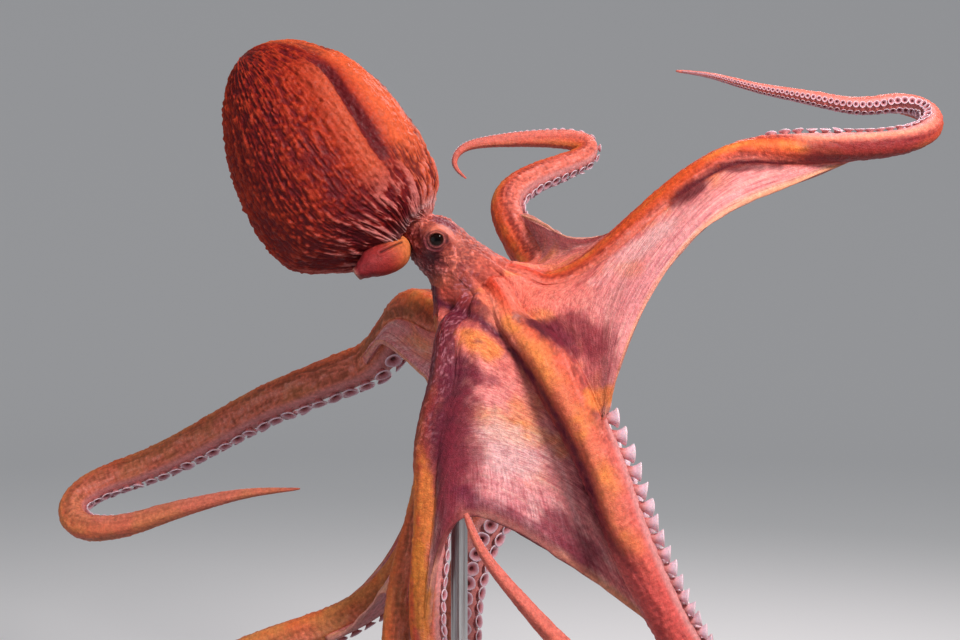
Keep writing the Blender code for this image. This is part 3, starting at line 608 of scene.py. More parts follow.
def cage_arms(cage):
    """Each arm from the crown to its tip; returns its outer and inner lines."""
    out = []
    for i, arm in enumerate(ARMS):
        outer, inner = arm_grid(arm)
        s = arm_rows(arm)
        crest = look_at(arm, s, "crest", 0.0)[:, None]
        rows = look_at(arm, s, "suckers", 180.0)[:, None]
        melt = (1 - ramp(s, *look_of(arm, "melt", MELT)))[:, None]
        common = dict(along=s[:, None], share=(s / arm["length"])[:, None], armw=1.0, melt=melt,
                      size=arm_at(arm, s, "w")[:, None],
                      **{k: look_of(arm, k, 0.0) for k in ("flat", "ridge", "dark", "brown")})
        made = []
        for face, phi, under in ((outer, np.linspace(-FACET, FACET, N_ARM), 0.0),
                                 (inner, np.linspace(-(180 - FACET), -(180 + FACET), N_ARM), 1.0)):
            made.append(cage.add(face, lean=(phi - crest + 180) % 360 - 180, suck=apart(phi, rows),
                                 side=np.sin(np.radians(phi)), up=np.cos(np.radians(phi)),
                                 under=under, **common))
        o, u = made
        cage.sheet(o)
        cage.sheet(u)
        end_next = WEBS[arm["name"]][0] * STEP
        end_last = WEBS[ARMS[(i - 1) % 8]["name"]][1] * STEP
        cage.strip(o[end_next:, -1], u[end_next:, -1])
        cage.strip(o[end_last:, 0], u[end_last:, 0])
        tip = cage.add(arm["c"][-1] + 0.001 * arm["t"][-1], along=arm["length"], share=1.0, armw=1.0,
                       lean=90.0, suck=90.0, size=ARM_TIP, brown=look_of(arm, "brown", 0.0))
        cage.fan(np.r_[o[-1], u[-1][::-1]], tip)
        out.append((o, u))
    return out


def cage_webs(cage, arms):
    """Both faces of each web, joined to its two arms and along its edge."""
    out = []
    for i, arm in enumerate(ARMS):
        nxt = ARMS[(i + 1) % 8]
        end_a, end_b = (q * STEP for q in WEBS[arm["name"]][:2])
        top = max(end_a, end_b) + 1
        outer, inner = web_grid(i)
        t = WEB_SHARES[None]
        k = (np.arange(top) / ROWS_WEB)[:, None]
        common = dict(webw=1.0, webt=t, webk=k * np.ones_like(t), side=1 - 2 * t, lean=90.0, suck=120.0,
                      along=k * (arm["web"] * (1 - t) + nxt["web"] * t), size=0.02,
                      comb=look_of(arm, "comb", 1.0))
        grids = []
        reach_a, reach_b = (look_of(q, "melt", MELT) for q in (arm, nxt))
        s = common["along"]
        melt = (1 - t) * (1 - ramp(s, *reach_a)) + t * (1 - ramp(s, *reach_b))
        for face, which, under in ((outer, 0, 0.0), (inner, 1, 1.0)):
            mid = cage.add(face, under=under, melt=melt, **common)
            a = arms[i][which][:top, -1].copy()
            b = arms[(i + 1) % 8][which][:top, 0].copy()
            a[end_a:] = a[end_a]
            b[end_b:] = b[end_b]
            grid = np.concatenate([a[:, None], mid, b[:, None]], axis=1)
            cage.sheet(grid)
            grids.append(grid)
        cage.strip(grids[0][-1], grids[1][-1])
        out.append(grids)
    return out


def mantle_points(u, turn, grow=0.0):
    """Skin of the mantle at u mm from the neck, turn from the belly."""
    u = np.broadcast_to(np.asarray(u, float), turn.shape)
    table = smooth_table(np.maximum(u, 0), MANTLE)
    shift, half = table[:, 0], np.maximum(table[:, 1] + grow + 0.6 * np.minimum(u, 0), 0)
    return (NECK + MM * (u[:, None] * MANTLE_U + (shift + half * np.cos(turn))[:, None] * MANTLE_V
                         + (half * MANTLE_FLAT * np.sin(turn))[:, None] * RIGHT))


def crown_rings(arms, webs):
    """The vertices round the crown on its outer and inner side, and the next ones out."""
    ring = [[], []]
    step = []
    for arm, web in zip(arms, webs):
        for which in (0, 1):
            ring[which].extend(arm[which][0])
            ring[which].extend(web[which][0][1:-1])
        step.extend(arm[0][1])
        step.extend(web[0][1][1:-1])
    return np.array(ring[0]), np.array(ring[1]), np.array(step)


def cage_head(cage, outer, step):
    """From the crown to the neck; returns the rows and each column's angle from the belly."""
    v = np.array(cage.v)
    first = v[outer]
    back = unit(first - v[step])
    rel = first - CROWN
    start = np.unwrap(np.arctan2(rel @ RIGHT / RING_LAT, rel @ DORSAL / RING_DV))
    n = len(start)
    even = 2 * math.pi * (np.arange(n) - 0.5 * (n - 1)) / n
    even = even * np.sign(start[-1] - start[0]) + start.mean()
    rows = [outer]
    # up to the widest part of the head
    th = 0.8 * start + 0.2 * even
    target = head_point(np.full(n, HEAD_JOIN), th)
    lead = unit(head_point(np.full(n, HEAD_JOIN - 4), th) - target)
    for t in np.linspace(0, 1, 10)[1:]:
        p = hermite(t, first, target, HEAD_EASE * back, HEAD_EASE * lead)
        rows.append(cage.add(p, headw=0.35 + 0.65 * t, armw=(1 - t) ** 2, melt=1 - 0.8 * t,
                             lean=60.0, suck=180.0, size=0.03,
                             mc=-np.cos(th), ms=np.sin(th), mu=MM * (t - 1) * 20 - MM * HEAD_JOIN))
    for along in np.linspace(HEAD_JOIN, 2, 26)[1:]:
        mix = ramp(along, HEAD_JOIN, 25.0)
        th = start * 0.8 * (1 - mix) + even * (0.2 + 0.8 * mix)
        rows.append(cage.add(head_point(np.full(n, along), th), headw=1.0, mc=-np.cos(th), ms=np.sin(th),
                             mu=-along * MM, size=0.03))
    return rows, math.pi - even


def cage_collar(cage, rows, turn):
    """Into the gap under the mantle's edge, round that edge and on to the mantle."""
    away = np.degrees(np.abs((turn + math.pi) % (2 * math.pi) - math.pi))
    gape = ramp(away, COLLAR_SHUT, COLLAR_OPEN)[:, None]
    common = dict(mc=np.cos(turn), ms=np.sin(turn), size=0.03)
    neck = np.array(cage.v)[rows[-1]]
    frill = COLLAR_FRILL * np.sin(turn * 17) * gape[:, 0] + 0.6 * COLLAR_FRILL * np.sin(turn * 41 + 1)
    shut = mantle_points(7.0, turn)
    lip_u = -4.0 + frill
    wall = (NECK + MM * (COLLAR_DEPTH * MANTLE_U + (22 + 42 * np.cos(turn))[:, None] * MANTLE_V
                         + (38 * np.sin(turn))[:, None] * RIGHT))
    deep = neck - MM * COLLAR_DEPTH * AXIS
    inner_lip = mantle_points(lip_u + 4, turn, grow=-5.0)
    lines = (0.5 * (neck + deep), deep, 0.6 * deep + 0.4 * wall, wall, 0.4 * wall + 0.6 * inner_lip,
             inner_lip, mantle_points(lip_u, turn, grow=-2.5), mantle_points(lip_u + 2, turn, grow=0.5))
    for k, open_line in enumerate(lines):
        share = (k + 1) / len(lines)
        p = (neck + (shut - neck) * share) * (1 - gape) + open_line * gape
        rows.append(cage.add(p, mantlew=share, headw=1 - share, mu=0.004, pocket=gape[:, 0] * (k < 5),
                             **common))


def cage_mantle(cage, rows, turn):
    """The mantle up to its tip, and all the faces from the crown to there."""
    common = dict(mc=np.cos(turn), ms=np.sin(turn), size=0.03)
    for u in MANTLE_ROWS:
        rows.append(cage.add(mantle_points(float(u), turn), mantlew=1.0, mu=u * MM, **common))
    for a, b in zip(rows, rows[1:]):
        cage.strip(a, b, wrap=True)
    length, shift = MANTLE[-1][:2]
    tip = NECK + MM * (length * MANTLE_U + shift * MANTLE_V)
    cage.fan(rows[-1], cage.add(tip, mantlew=1.0, mu=MM * length))


def cage_mouth(cage, inner):
    """The mouth side: a shallow cup down to the lips."""
    mouth = CROWN + MOUTH_DEEP * AXIS
    edge = np.array(cage.v)[inner]
    last = inner
    for share, rise in MOUTH_RINGS:
        line = cage.add(mouth + share * (edge - mouth) + rise * MM * AXIS, under=1.0, size=0.03, lean=180.0)
        cage.strip(last, line, wrap=True)
        last = line
    cage.fan(last, cage.add(mouth - 0.010 * AXIS, under=1.0, inside=1.0))


def cage_body(cage, arms, webs):
    """Head, mantle and mouth side, all on the crown's own columns."""
    outer, inner, step = crown_rings(arms, webs)
    rows, turn = cage_head(cage, outer, step)
    cage_collar(cage, rows, turn)
    cage_mantle(cage, rows, turn)
    cage_mouth(cage, inner)


def cage_siphon(cage):
    """The siphon, a soft tube with a slit mouth."""
    table = np.array([(k, *row) for k, row in enumerate(SIPHON)], float)
    v = smooth_table(np.linspace(0, len(SIPHON) - 1, SIPHON_ROWS), table)
    c = NECK + MM * (v[:, :1] * MANTLE_U + v[:, 1:2] * MANTLE_V + v[:, 2:3] * RIGHT)
    t = unit(np.gradient(c, axis=0))
    a = perp(np.tile(AXIS, (len(c), 1)), t)
    b = np.cross(t, a)
    turn = np.radians(np.arange(SIPHON_SPOKES) * 360.0 / SIPHON_SPOKES)
    r = v[:, 3] * MM

    count = len(c)
    close = ramp(np.arange(count) / (count - 1), 0.70, 1.05)

    def around(k, radius, push=0.0):
        # the mouth end draws in to a slit
        flat = 1 - 0.50 * close[k]
        return (c[k] + push * t[k] + radius * (np.cos(turn)[:, None] * flat * a[k]
                                               + np.sin(turn)[:, None] * (1 + 0.12 * close[k]) * b[k]))
    common = dict(siphonw=1.0, mc=np.cos(turn), ms=np.sin(turn))
    rows = [cage.add(around(k, r[k]), mu=k / count, **common) for k in range(count)]
    rows.append(cage.add(around(count - 1, r[-1] - SIPHON_WALL * 0.6, 0.0015), mu=1.0, **common))
    for k in range(count - 1, 3, -2):
        rows.append(cage.add(around(k, r[k] - SIPHON_WALL), mu=k / count, inside=1.0, **common))
    for p, q in zip(rows, rows[1:]):
        cage.strip(p, q, wrap=True)
    cage.fan(rows[0], cage.add(c[0], siphonw=1.0))
    cage.fan(rows[-1], cage.add(c[3], siphonw=1.0, inside=1.0))


def subdivided(me, name, levels):
    """An object of the mesh, with its subdivision applied."""
    ob = new_object(name, me)
    sub = ob.modifiers.new("smooth", "SUBSURF")
    sub.levels = sub.render_levels = levels
    deps = bpy.context.evaluated_depsgraph_get()
    fine = bpy.data.meshes.new_from_object(ob.evaluated_get(deps), preserve_all_data_layers=True,
                                           depsgraph=deps)
    ob.modifiers.remove(sub)
    ob.data = fine
    fine.name = name
    return ob


def read(data, key, width=1):
    """The values that a mesh's layer holds, one row for each element."""
    out = np.empty(len(data) * width, np.float32)
    data.foreach_get(key, out)
    return out.reshape(-1, width).astype(float)


def numbers(me, name):
    return read(me.attributes[name].data, "value")[:, 0]


def coords(me):
    return read(me.vertices, "co", 3)


def normals(me):
    return read(me.vertex_normals, "vector", 3)


def set_coords(me, p):
    me.vertices.foreach_set("co", np.ascontiguousarray(p, np.float32).ravel())
    me.update()


def new_object(name, data):
    ob = bpy.data.objects.new(name, data)
    bpy.context.scene.collection.objects.link(ob)
    return ob


def solid_mesh(name, verts, faces):
    me = bpy.data.meshes.new(name)
    me.from_pydata([tuple(v) for v in verts], [], faces)
    me.shade_smooth()
    return me


def bands(start, rings, count):
    """Faces between rings of vertices that follow each other from number start."""
    return [(i + j, i + (j + 1) % count, i + (j + 1) % count + count, i + j + count)
            for i in range(start, start + (rings - 1) * count, count) for j in range(count)]


# ------------------------------------------------------------ carving
def lid_rings(level, up):
    """How many lid openings out a point lies, and how far it is in the brow."""
    brow = ramp(up, 0.5, 6.5)
    high = LID_HIGH * (1 - LID_DROOP * brow)
    return np.hypot(level / LID_LONG, up / high), brow


def carve_lids(p):
    """Moves the skin round each eye into its lids, socket and brow folds."""
    p = p.copy()
    for side in (1, -1):
        d = (p - eye_centre(side)) / MM
        mine = (d @ RIGHT * side > -14) & (np.hypot(d[:, 0], d[:, 2]) < 34)
        q = (d[mine] @ RIGHT) * side
        e, brow = lid_rings(d[mine, 0], d[mine, 2])
        e = e * (1 + 0.05 * noise(p[mine] / 0.009, 29) * ramp(e, 1.0, 1.6))
        rim = EYE_R / MM * math.cos(0.60) + 1.5
        torn = 0.6 + 0.5 * noise(p[mine] / 0.006, 28)
        creases = 1.3 * near(e, 1.50, 0.16) - 0.9 * near(e, 1.80, 0.16) + 1.2 * near(e, 2.15, 0.18)
        lid = (rim - 1.4 * ramp(e, 1.0, 1.25) + 1.2 * near(e, 1.22, 0.12) * (1 - brow)
               + 3.6 * brow * near(e, 1.35, 0.55) - creases * torn)
        socket = rim + 2.0 * brow - 15 * ramp(1 - e, 0.02, 0.40)
        want = np.where(e < 1, socket, lid)
        hold = 1 - ramp(e, 1.75, 3.0)
        p[mine] += ((want - q) * hold * MM)[:, None] * side * RIGHT
    return p


def from_slit(p):
    """Distance (mm) to the fold across the siphon's base, seen from the side."""
    d = (p - CROWN)[:, (0, 2)] / MM
    a, b = (np.array(q, float) for q in SIPHON_SLIT)
    t = np.clip((d - a) @ (b - a) / ((b - a) @ (b - a)), 0, 1)
    return np.linalg.norm(d - a - t[:, None] * (b - a), axis=1)


def line_through(points, steps=12):
    """A smooth line through points given in mm from the crown."""
    q = np.array(points, float) * MM + CROWN
    q = np.vstack([2 * q[0] - q[1], q, 2 * q[-1] - q[-2]])
    t = np.linspace(0, 1, steps, endpoint=False)[:, None]
    bits = [0.5 * (2 * b + (c - a) * t + (2 * a - 5 * b + 4 * c - d) * t**2 + (3 * b - a - 3 * c + d) * t**3)
            for a, b, c, d in zip(q, q[1:], q[2:], q[3:])]
    return np.vstack(bits + [q[-2:-1]])


def beside_line(p, line, lower):
    """Signed distance (mm) from a line seen from the right, and the share along it."""
    far = np.full(len(p), 1e3)
    share = np.zeros(len(p))
    flat = np.array((1.0, 0.0, 1.0))
    close = np.where(((p > line.min(0) - 0.05) & (p < line.max(0) + 0.05)).all(1))[0]
    q = p[close] * flat
    line = line * flat
    best = np.full(len(q), 1e3)
    for i, (a, b) in enumerate(zip(line, line[1:])):
        run = b - a
        t = np.clip((q - a) @ run / (run @ run), 0, 1)
        off = q - a - t[:, None] * run
        size = np.linalg.norm(off, axis=1)
        side = np.sign(off @ perp(lower, unit(run)))
        new = size < np.abs(best)
        best[new] = (size * side)[new]
        share[close[new]] = (i + t[new]) / (len(line) - 1)
    far[close] = best / MM
    return far, share


# Each part's relief takes the points and fields of that part alone, and
# returns millimetres.
def mantle_relief(p, f):
    """Folds that run from the neck to the tip, warts, and a ridge up either flank."""
    mc, ms, mu = f["mc"], f["ms"], f["mu"]
    turn = np.abs(np.degrees(np.arctan2(ms, mc)))
    gathered = 1 - ramp(mu, 0.015, 0.10)
    still = 0 * mu
    ring = np.stack([mc, ms, still], 1)
    sway = 0.10 * np.stack([noise(p / 0.045, 5), noise(p / 0.045, 6), still], 1)
    lengthwise = np.stack([still, still, mu], 1)
    long_folds = crests((ring + sway) * 5.5 + lengthwise / 0.075, 2, 11)
    near_folds = crests((ring + sway * 0.5) * 21 + lengthwise / 0.05, 2, 12)
    strokes = crests(ring * 17 + lengthwise / 0.028 + 3.5 * sway, 2, 16)
    wrinkles = crests(ring * 30 + lengthwise / 0.014 + 5 * sway, 2, 19)
    beaded = bumps(np.stack([mc * 17, ms * 17, mu / 0.0085], 1) + 2 * sway, 17, 0.50, 1.2)
    papilla = bumps(p / 0.019, 15, 0.40, 1.5)
    knobs = bumps(p / 0.0088, 20, 0.52)
    patchy = ramp(noise(p / 0.035, 18), -0.35, 0.35)
    rough = 1 - 0.60 * ramp(turn, 122, 135) * ramp(mu, 0.03, 0.09)
    folds = (3.2 * (long_folds - 0.45) * (0.45 + 0.55 * gathered) + 3.4 * gathered * (near_folds - 0.5)
             + 2.0 * (strokes - 0.45) * (0.30 + 0.70 * rough) + 1.8 * (wrinkles - 0.45) * (0.4 + 0.6 * rough))
    knobbly = (3.0 * beaded * (0.35 + 0.65 * patchy) + 2.2 * knobs) * (0.25 + 0.75 * rough)
    rises = knobbly * ramp(mu, 0.02, 0.07) + 1.6 * papilla * rough * ramp(mu, 0.03, 0.08)
    # a steep-sided ridge, with a groove and then a smooth lobe behind it
    behind = turn - np.interp(mu, *MANTLE_RIDGE)
    hill = near(behind, 0, np.where(behind < 0, 13, 3.0))
    run = ramp(mu, 0.03, 0.07) * (1 - ramp(mu, 0.19, 0.25))
    deep = ramp(mu, 0.06, 0.11) * (1 - ramp(mu, 0.18, 0.24))
    ridge = run * (5.0 * hill + deep * (4.5 * near(behind, 24, 13) - 7.0 * near(behind, 6.0, 4.5)))
    back = 4.0 * near(turn, 180, 14) * ramp(mu, 0.04, 0.12) * (1 - ramp(mu, 0.22, 0.27))
    calm = (1 - 0.9 * f["pocket"]) * (1 - 0.55 * ramp(mu, 0.265, 0.295))
    return (folds + rises + ridge - back) * calm


def head_relief(p, f):
    """Fine net, beads, a few folds and a seam down the back."""
    grain = 1 - np.minimum(1, warts(p / 0.0052, 21) / 0.62)
    beads = bumps(p / 0.0125, 22, 0.40, 1.4)
    folds = crests(p / 0.020, 2, 23)
    back = np.degrees(np.arctan2(f["ms"], f["mc"]))
    seam = near(back, 14, 7) * ramp(f["mu"], -0.060, -0.040) * (0.6 + 0.6 * noise(p / 0.004, 24))
    return (1.3 * grain + 1.5 * beads + 1.8 * (folds - 0.5) + 3.6 * seam) * (1 - f["pocket"])


def arm_relief(p, f):
    """Crest, wrinkles lengthways, rings across and warts; creases between the suckers."""
    s, lean, share, suck = f["along"], f["lean"], f["share"], f["suck"]
    side, up = f["side"], f["up"]
    warp = noise(p / 0.030, 31)
    lengthways = crests(np.stack([side * 2.6 + 0.25 * warp, up * 2.6, s / 0.055], 1), 2, 32)
    across = 0.5 + 0.5 * np.sin(2 * math.pi * (s / 0.0085 + 0.35 * warp + 0.5 * np.abs(side)))
    grain = 1 - np.minimum(1, warts(p / 0.0062, 33) / 0.62)
    papilla = bumps(p / 0.016, 34, 0.36, 1.4)
    knit = crests(np.stack([side * 7 + 0.4 * warp, s / 0.011, up * 5], 1), 2, 36)
    netted = crests(p / 0.0075, 2, 37)
    beside = near(suck, 92, 20) * ramp(share, 0.15, 0.25)
    flat = f["flat"] * (1 - ramp(s, 0.22, 0.36))
    sharp = f["ridge"] * ramp(s, 0.02, 0.07) * (1 - ramp(s, 0.40, 0.55))
    crested = (2.2 * near(lean, 0, 19) - 0.8 * near(np.abs(lean), 44, 14)) * ramp(s, 0.03, 0.11)
    crested = crested * (1 - flat) * (1 - sharp)
    outer = (crested + 1.6 * (lengthways - 0.5) + 1.1 * grain + 1.3 * papilla + 1.2 * (knit - 0.5)
             + 0.8 * across * ramp(share, 0.22, 0.45) + 1.8 * beside * (netted - 0.4))
    inner = 0.9 * (crests(p / 0.008, 2, 35) - 0.5) - 2.0 * near(suck, 0, 14)
    shown = ramp(suck, 52, 76)
    return np.clip(f["size"] / 0.030, 0.05, 1.1) * (shown * outer + (1 - shown) * inner)


def web_relief(p, f):
    """Soft folds that fan from the crown, hair-fine lines, and a rolled rim."""
    t, k, none = f["webt"], f["webk"], 0 * f["webt"]
    sideways = np.where(f["under"] > 0.5, -1.0, 1.0)
    fan = fbm(np.stack([t * 7 + 0.5 * noise(p / 0.06, 41), k * 1.7, none], 1), 3, 42)
    hair = fbm(np.stack([t * 9 + 2 * noise(p / 0.05, 43), k * 105, none], 1), 2, 44)
    combed = fbm(np.stack([t * 46 + 1.5 * noise(p / 0.07, 46), k * 5, none], 1), 2, 47)
    net = crests(p / 0.012, 2, 45)
    rolled = near(k, 1.0, 0.012) - 0.7 * near(k, 0.965, 0.012) + 0.5 * near(k, 0.94, 0.012)
    folds = 2.4 * fan * ramp(k, 0, 0.3) + 0.45 * hair + 0.5 * combed * ramp(k, 0.3, 0.6)
    return sideways * folds + 0.8 * (net - 0.5) * np.clip(1 - k, 0, 1) + 0.6 * rolled


def siphon_relief(p, f):
    """Smooth, with rings at its mouth and a fold across its base."""
    slit = from_slit(p)
    return (0.5 * fbm(p / 0.012, 2, 51) + 0.35 * np.sin(f["mu"] * 60) * ramp(f["mu"], 0.55, 0.9)
            - 2.4 * near(slit, 0, 1.3) + 0.8 * near(slit, 3.2, 1.6))


def ridge_relief(p, f):
    """The sharp ridge and crease that run from the head down the second right arm."""
    off, far = beside_line(p, RIDGE_LINE, LEFTWARD)
    run = ramp(far, 0, 0.10) * (1 - ramp(far, 0.78, 1.0)) * (1 - f["under"])
    broken = 0.75 + 0.5 * noise(p / 0.012, 38)
    return run * (4.2 * near(off, -1, 11) - 3.6 * near(off, 13.5, 5.5) * broken)


def relief(p, f):
    """Height of folds, warts and wrinkles over the smooth skin, in metres."""
    h = ridge_relief(p, f)
    for weight, part in (("mantlew", mantle_relief), ("headw", head_relief), ("armw", arm_relief),
                         ("webw", web_relief), ("siphonw", siphon_relief)):
        m = f[weight] > 0.02
        h[m] += f[weight][m] * part(p[m], {k: v[m] for k, v in f.items()})
    return MM * h * (1 - np.clip(f["inside"], 0, 1))


# ------------------------------------------------------------ paint
def tint(code):
    """Linear colour of an sRGB hex code."""
    rgb = np.array([int(code[k:k + 2], 16) / 255 for k in (0, 2, 4)])
    return np.where(rgb > 0.04045, ((rgb + 0.055) / 1.055) ** 2.4, rgb / 12.92)


def lay(base, *layers):
    """Colours (hex codes or rows of values) laid over the base, each by its amount at each point."""
    for colour, amount in layers:
        a = np.clip(amount, 0, 1)[:, None]
        base = base * (1 - a) + (tint(colour) if isinstance(colour, str) else colour) * a
    return base


def coat(p, colour, *layers):
    """A plain colour at each point, with layers over it."""
    return lay(np.tile(tint(colour), (len(p), 1)), *layers)


# Each part's paint is worked out at every point and then laid on by how much
# of that part the point is.
def arm_paint(p, f):
    lean, share, s, cloud, high, low = (f[k] for k in ("lean", "share", "along", "cloud", "high", "low"))
    crest = np.abs(lean)
    oral = 1 - ramp(f["suck"], 52, 78)
    grown = ramp(s, 0.02, 0.12)
    plain = f["flat"] * (1 - ramp(s, 0.22, 0.36))
    netting = crests(p / 0.0055, 2, 69)
    netted = f["dark"] * (1 - ramp(s, 0.17, 0.25))
    flank = near(crest, 58, 14) * (1 - ramp(share, 0.3, 0.6)) * grown * (1 - plain)
    # the flat arm's web folds over at its end, with painted shade in the fold; past that its crest is pale,
    # partly as painted highlight, and its far side is darker as painted shade
    flat = ramp(f["flat"], 0.5, 0.8)
    fold_shade = flat * near(lean, 80, 20) * ramp(s, 0.215, 0.26) * (1 - ramp(s, 0.37, 0.41))
    past = flat * ramp(s, 0.38, 0.41) * (1 - ramp(s, 0.52, 0.60))
    off_crest = lean - np.interp(s, (0.37, 0.45, 0.50), (-45, -85, -100))
    brown = f["brown"] * (1 - oral)
    return coat(
        p, "d8452e",
        ("e97a68", ramp(crest, 16, 70) * 0.8),
        ("e2602c", near(crest, 0, 34) * 0.75 * grown * (1 - 0.7 * f["ridge"])),
        (GOLD, near(crest, 0, 18) * ramp(cloud, 0.38, 0.68) * 0.9 * grown * (1 - f["ridge"])),
        ("6b1530", flank * 0.40 * ramp(cloud, 0.4, 0.7)),
        # paler pink on raised skin: painted highlight
        ("f09a92", ramp(high, 0.55, 1.0) * 0.55 * ramp(crest, 12, 55)),
        # maroon in the hollows: painted shade
        (MAROON, ramp(low, 0.45, 0.95) * 0.6),
        (DARK_NET, netted * (1 - 0.5 * ramp(netting, 0.45, 0.85)) * 0.75),
        ("c06a70", netted * ramp(netting, 0.55, 0.80) * 0.5),
        # dark in the fold of the flat arm's web: painted shade
        ("5e0c1a", fold_shade * 1.1),
        # pale top of the crest past the fold: partly its own colour, partly painted highlight
        ("f0ae8e", past * near(off_crest, 0, 26) * 0.75),
        # darker far side past the fold: painted shade
        ("7c1a2a", past * ramp(off_crest, 22, 55) * (1 - oral) * 0.8),
        ("de6468", f["ridge"] * ramp(s, 0.19, 0.28) * (1 - ramp(share, 0.55, 0.7)) * 0.55),
        ("d98a88", oral * 0.85),
        # paler on raised skin of the sucker side: painted highlight
        (PALE, oral * high * 0.35),
        ("dc7468", ramp(share, 0.55, 0.90) * 0.8),
        ("c8804a", brown * (0.40 + 0.45 * ramp(cloud, 0.35, 0.7))),
        # darker brown in the hollows: painted shade
        ("743a20", brown * 0.45 * ramp(low, 0.4, 0.8)))


def web_paint(p, f):
    t, k, none = f["webt"], f["webk"], 0 * f["webt"]
    streak = 0.5 + 0.5 * fbm(np.stack([t * 5 + 1.2 * noise(p / 0.05, 63), k * 60, none], 1), 3, 64)
    combed = 0.5 + 0.5 * fbm(np.stack([t * 34 + 1.2 * noise(p / 0.06, 65), k * 5, none], 1), 3, 66)
    return coat(
        p, "ee7058",
        ("f29694", 0.15 + 0.75 * ramp(k, 0.12, 0.55)),
        (LILAC, ramp(k, 0.45, 0.9) * near(t, 0.5, 0.28) * 0.40),
        ("f49048", ramp(f["cloud"], 0.50, 0.78) * 0.6 * (1 - ramp(k, 0.6, 0.9))),
        (CREAM, ramp(streak, 0.55, 0.85) * 0.35 * ramp(k, 0.3, 0.6)),
        (PALE, ramp(combed, 0.50, 0.75) * 0.40 * ramp(k, 0.45, 0.75) * f["comb"]),
        ("b04058", ramp(1 - combed, 0.52, 0.80) * 0.35 * ramp(k, 0.40, 0.70) * f["comb"]),
        ("9a2a3c", ramp(1 - streak, 0.55, 0.85) * 0.40),
        # dark where the web meets either arm: painted shade in the crease, broken up by specks
        ("7c1f34", (near(t, 0.04, 0.10) + near(t, 0.96, 0.10)) * 0.30 * ramp(f["speck"], 0.3, 0.7)),
        ("f4b070", near(k, 0.985, 0.03) * 0.5),
        ("d88c92", f["under"] * 0.55))


def head_paint(p, f):
    """Salmon above, a dark net and pale warts below; painted highlight on raised skin,
    painted shade in the hollows and on the under side.
    """
    down = np.clip(f["mc"], 0, 1)
    lace = crests(p / 0.0050, 2, 67)
    back = np.degrees(np.arctan2(f["ms"], f["mc"]))
    return coat(
        p, "d4605c",
        ("e5785c", (1 - ramp(down, 0, 0.5)) * 0.7),
        # paler on raised skin: painted highlight
        ("e88f8c", ramp(f["high"], 0.55, 1.0) * 0.6),
        # maroon in the hollows, more so underneath: painted shade
        (MAROON, ramp(f["low"], 0.30, 0.75) * (0.45 + 0.4 * ramp(down, 0.0, 0.6))),
        (PALE, near(back, 14, 6) * ramp(f["mu"], -0.060, -0.040) * 0.8),
        ("5a1020", (1 - ramp(lace, 0.30, 0.62)) * 0.55),
        # darker on the under side: painted shade
        ("50101c", ramp(down, 0.35, 0.85) * 0.55),
        ("e8a2a0", ramp(lace, 0.66, 0.85) * ramp(down, 0.1, 0.6) * 0.5))


def mantle_paint(p, f):
    mu, high, low = f["mu"], f["high"], f["low"]
    turn = np.abs(np.degrees(np.arctan2(f["ms"], f["mc"])))
    behind = turn - np.interp(mu, *MANTLE_RIDGE)
    before_tip = 1 - ramp(mu, 0.18, 0.24)
    return coat(
        p, "780c06",
        ("a82a12", 0.10 + 0.50 * ramp(f["cloud"], 0.35, 0.65)),
        # brighter red on raised skin: painted highlight
        ("c23e1e", ramp(high, 0.55, 1.0) * 0.50),
        # paler along the top of the ridge: painted highlight
        ("da6240", near(behind, -2, 8) * ramp(mu, 0.04, 0.08) * before_tip * 0.5),
        ("ee6a3a", ramp(behind, 10, 22) * 0.55),
        # pale crests of the folds near the neck: partly their own colour, partly painted highlight
        ("d4807c", (1 - ramp(mu, 0.01, 0.085)) * ramp(high, 0.5, 0.95) * 0.80),
        (PALE, near(mu, 0.004, 0.006) * 0.7),
        # maroon in the hollows: painted shade
        (MAROON, ramp(low, 0.45, 0.95) * (0.70 + 0.20 * (1 - ramp(mu, 0.02, 0.09)))),
        # maroon in the groove behind the ridge: painted shade
        (MAROON, near(behind, 6, 5) * ramp(mu, 0.05, 0.10) * before_tip * 0.75),
        (SHADOW, f["pocket"] * 0.75))


def siphon_paint(p, f):
    mu = f["mu"]
    return coat(
        p, "a8342c",
        # darker towards the slit mouth, the lower part: painted shade
        ("6a1428", ramp(mu, 0.45, 0.85) * 0.6),
        # orange in patches towards the base, the upper part: painted light
        ("e5814a", (1 - ramp(mu, 0.30, 0.62)) * ramp(f["cloud"], 0.15, 0.5) * 0.95),
        (CREAM, near(mu, 1.0, 0.05) * 0.5),
        (SHADOW, near(from_slit(p), 0, 1.2) * 0.85))


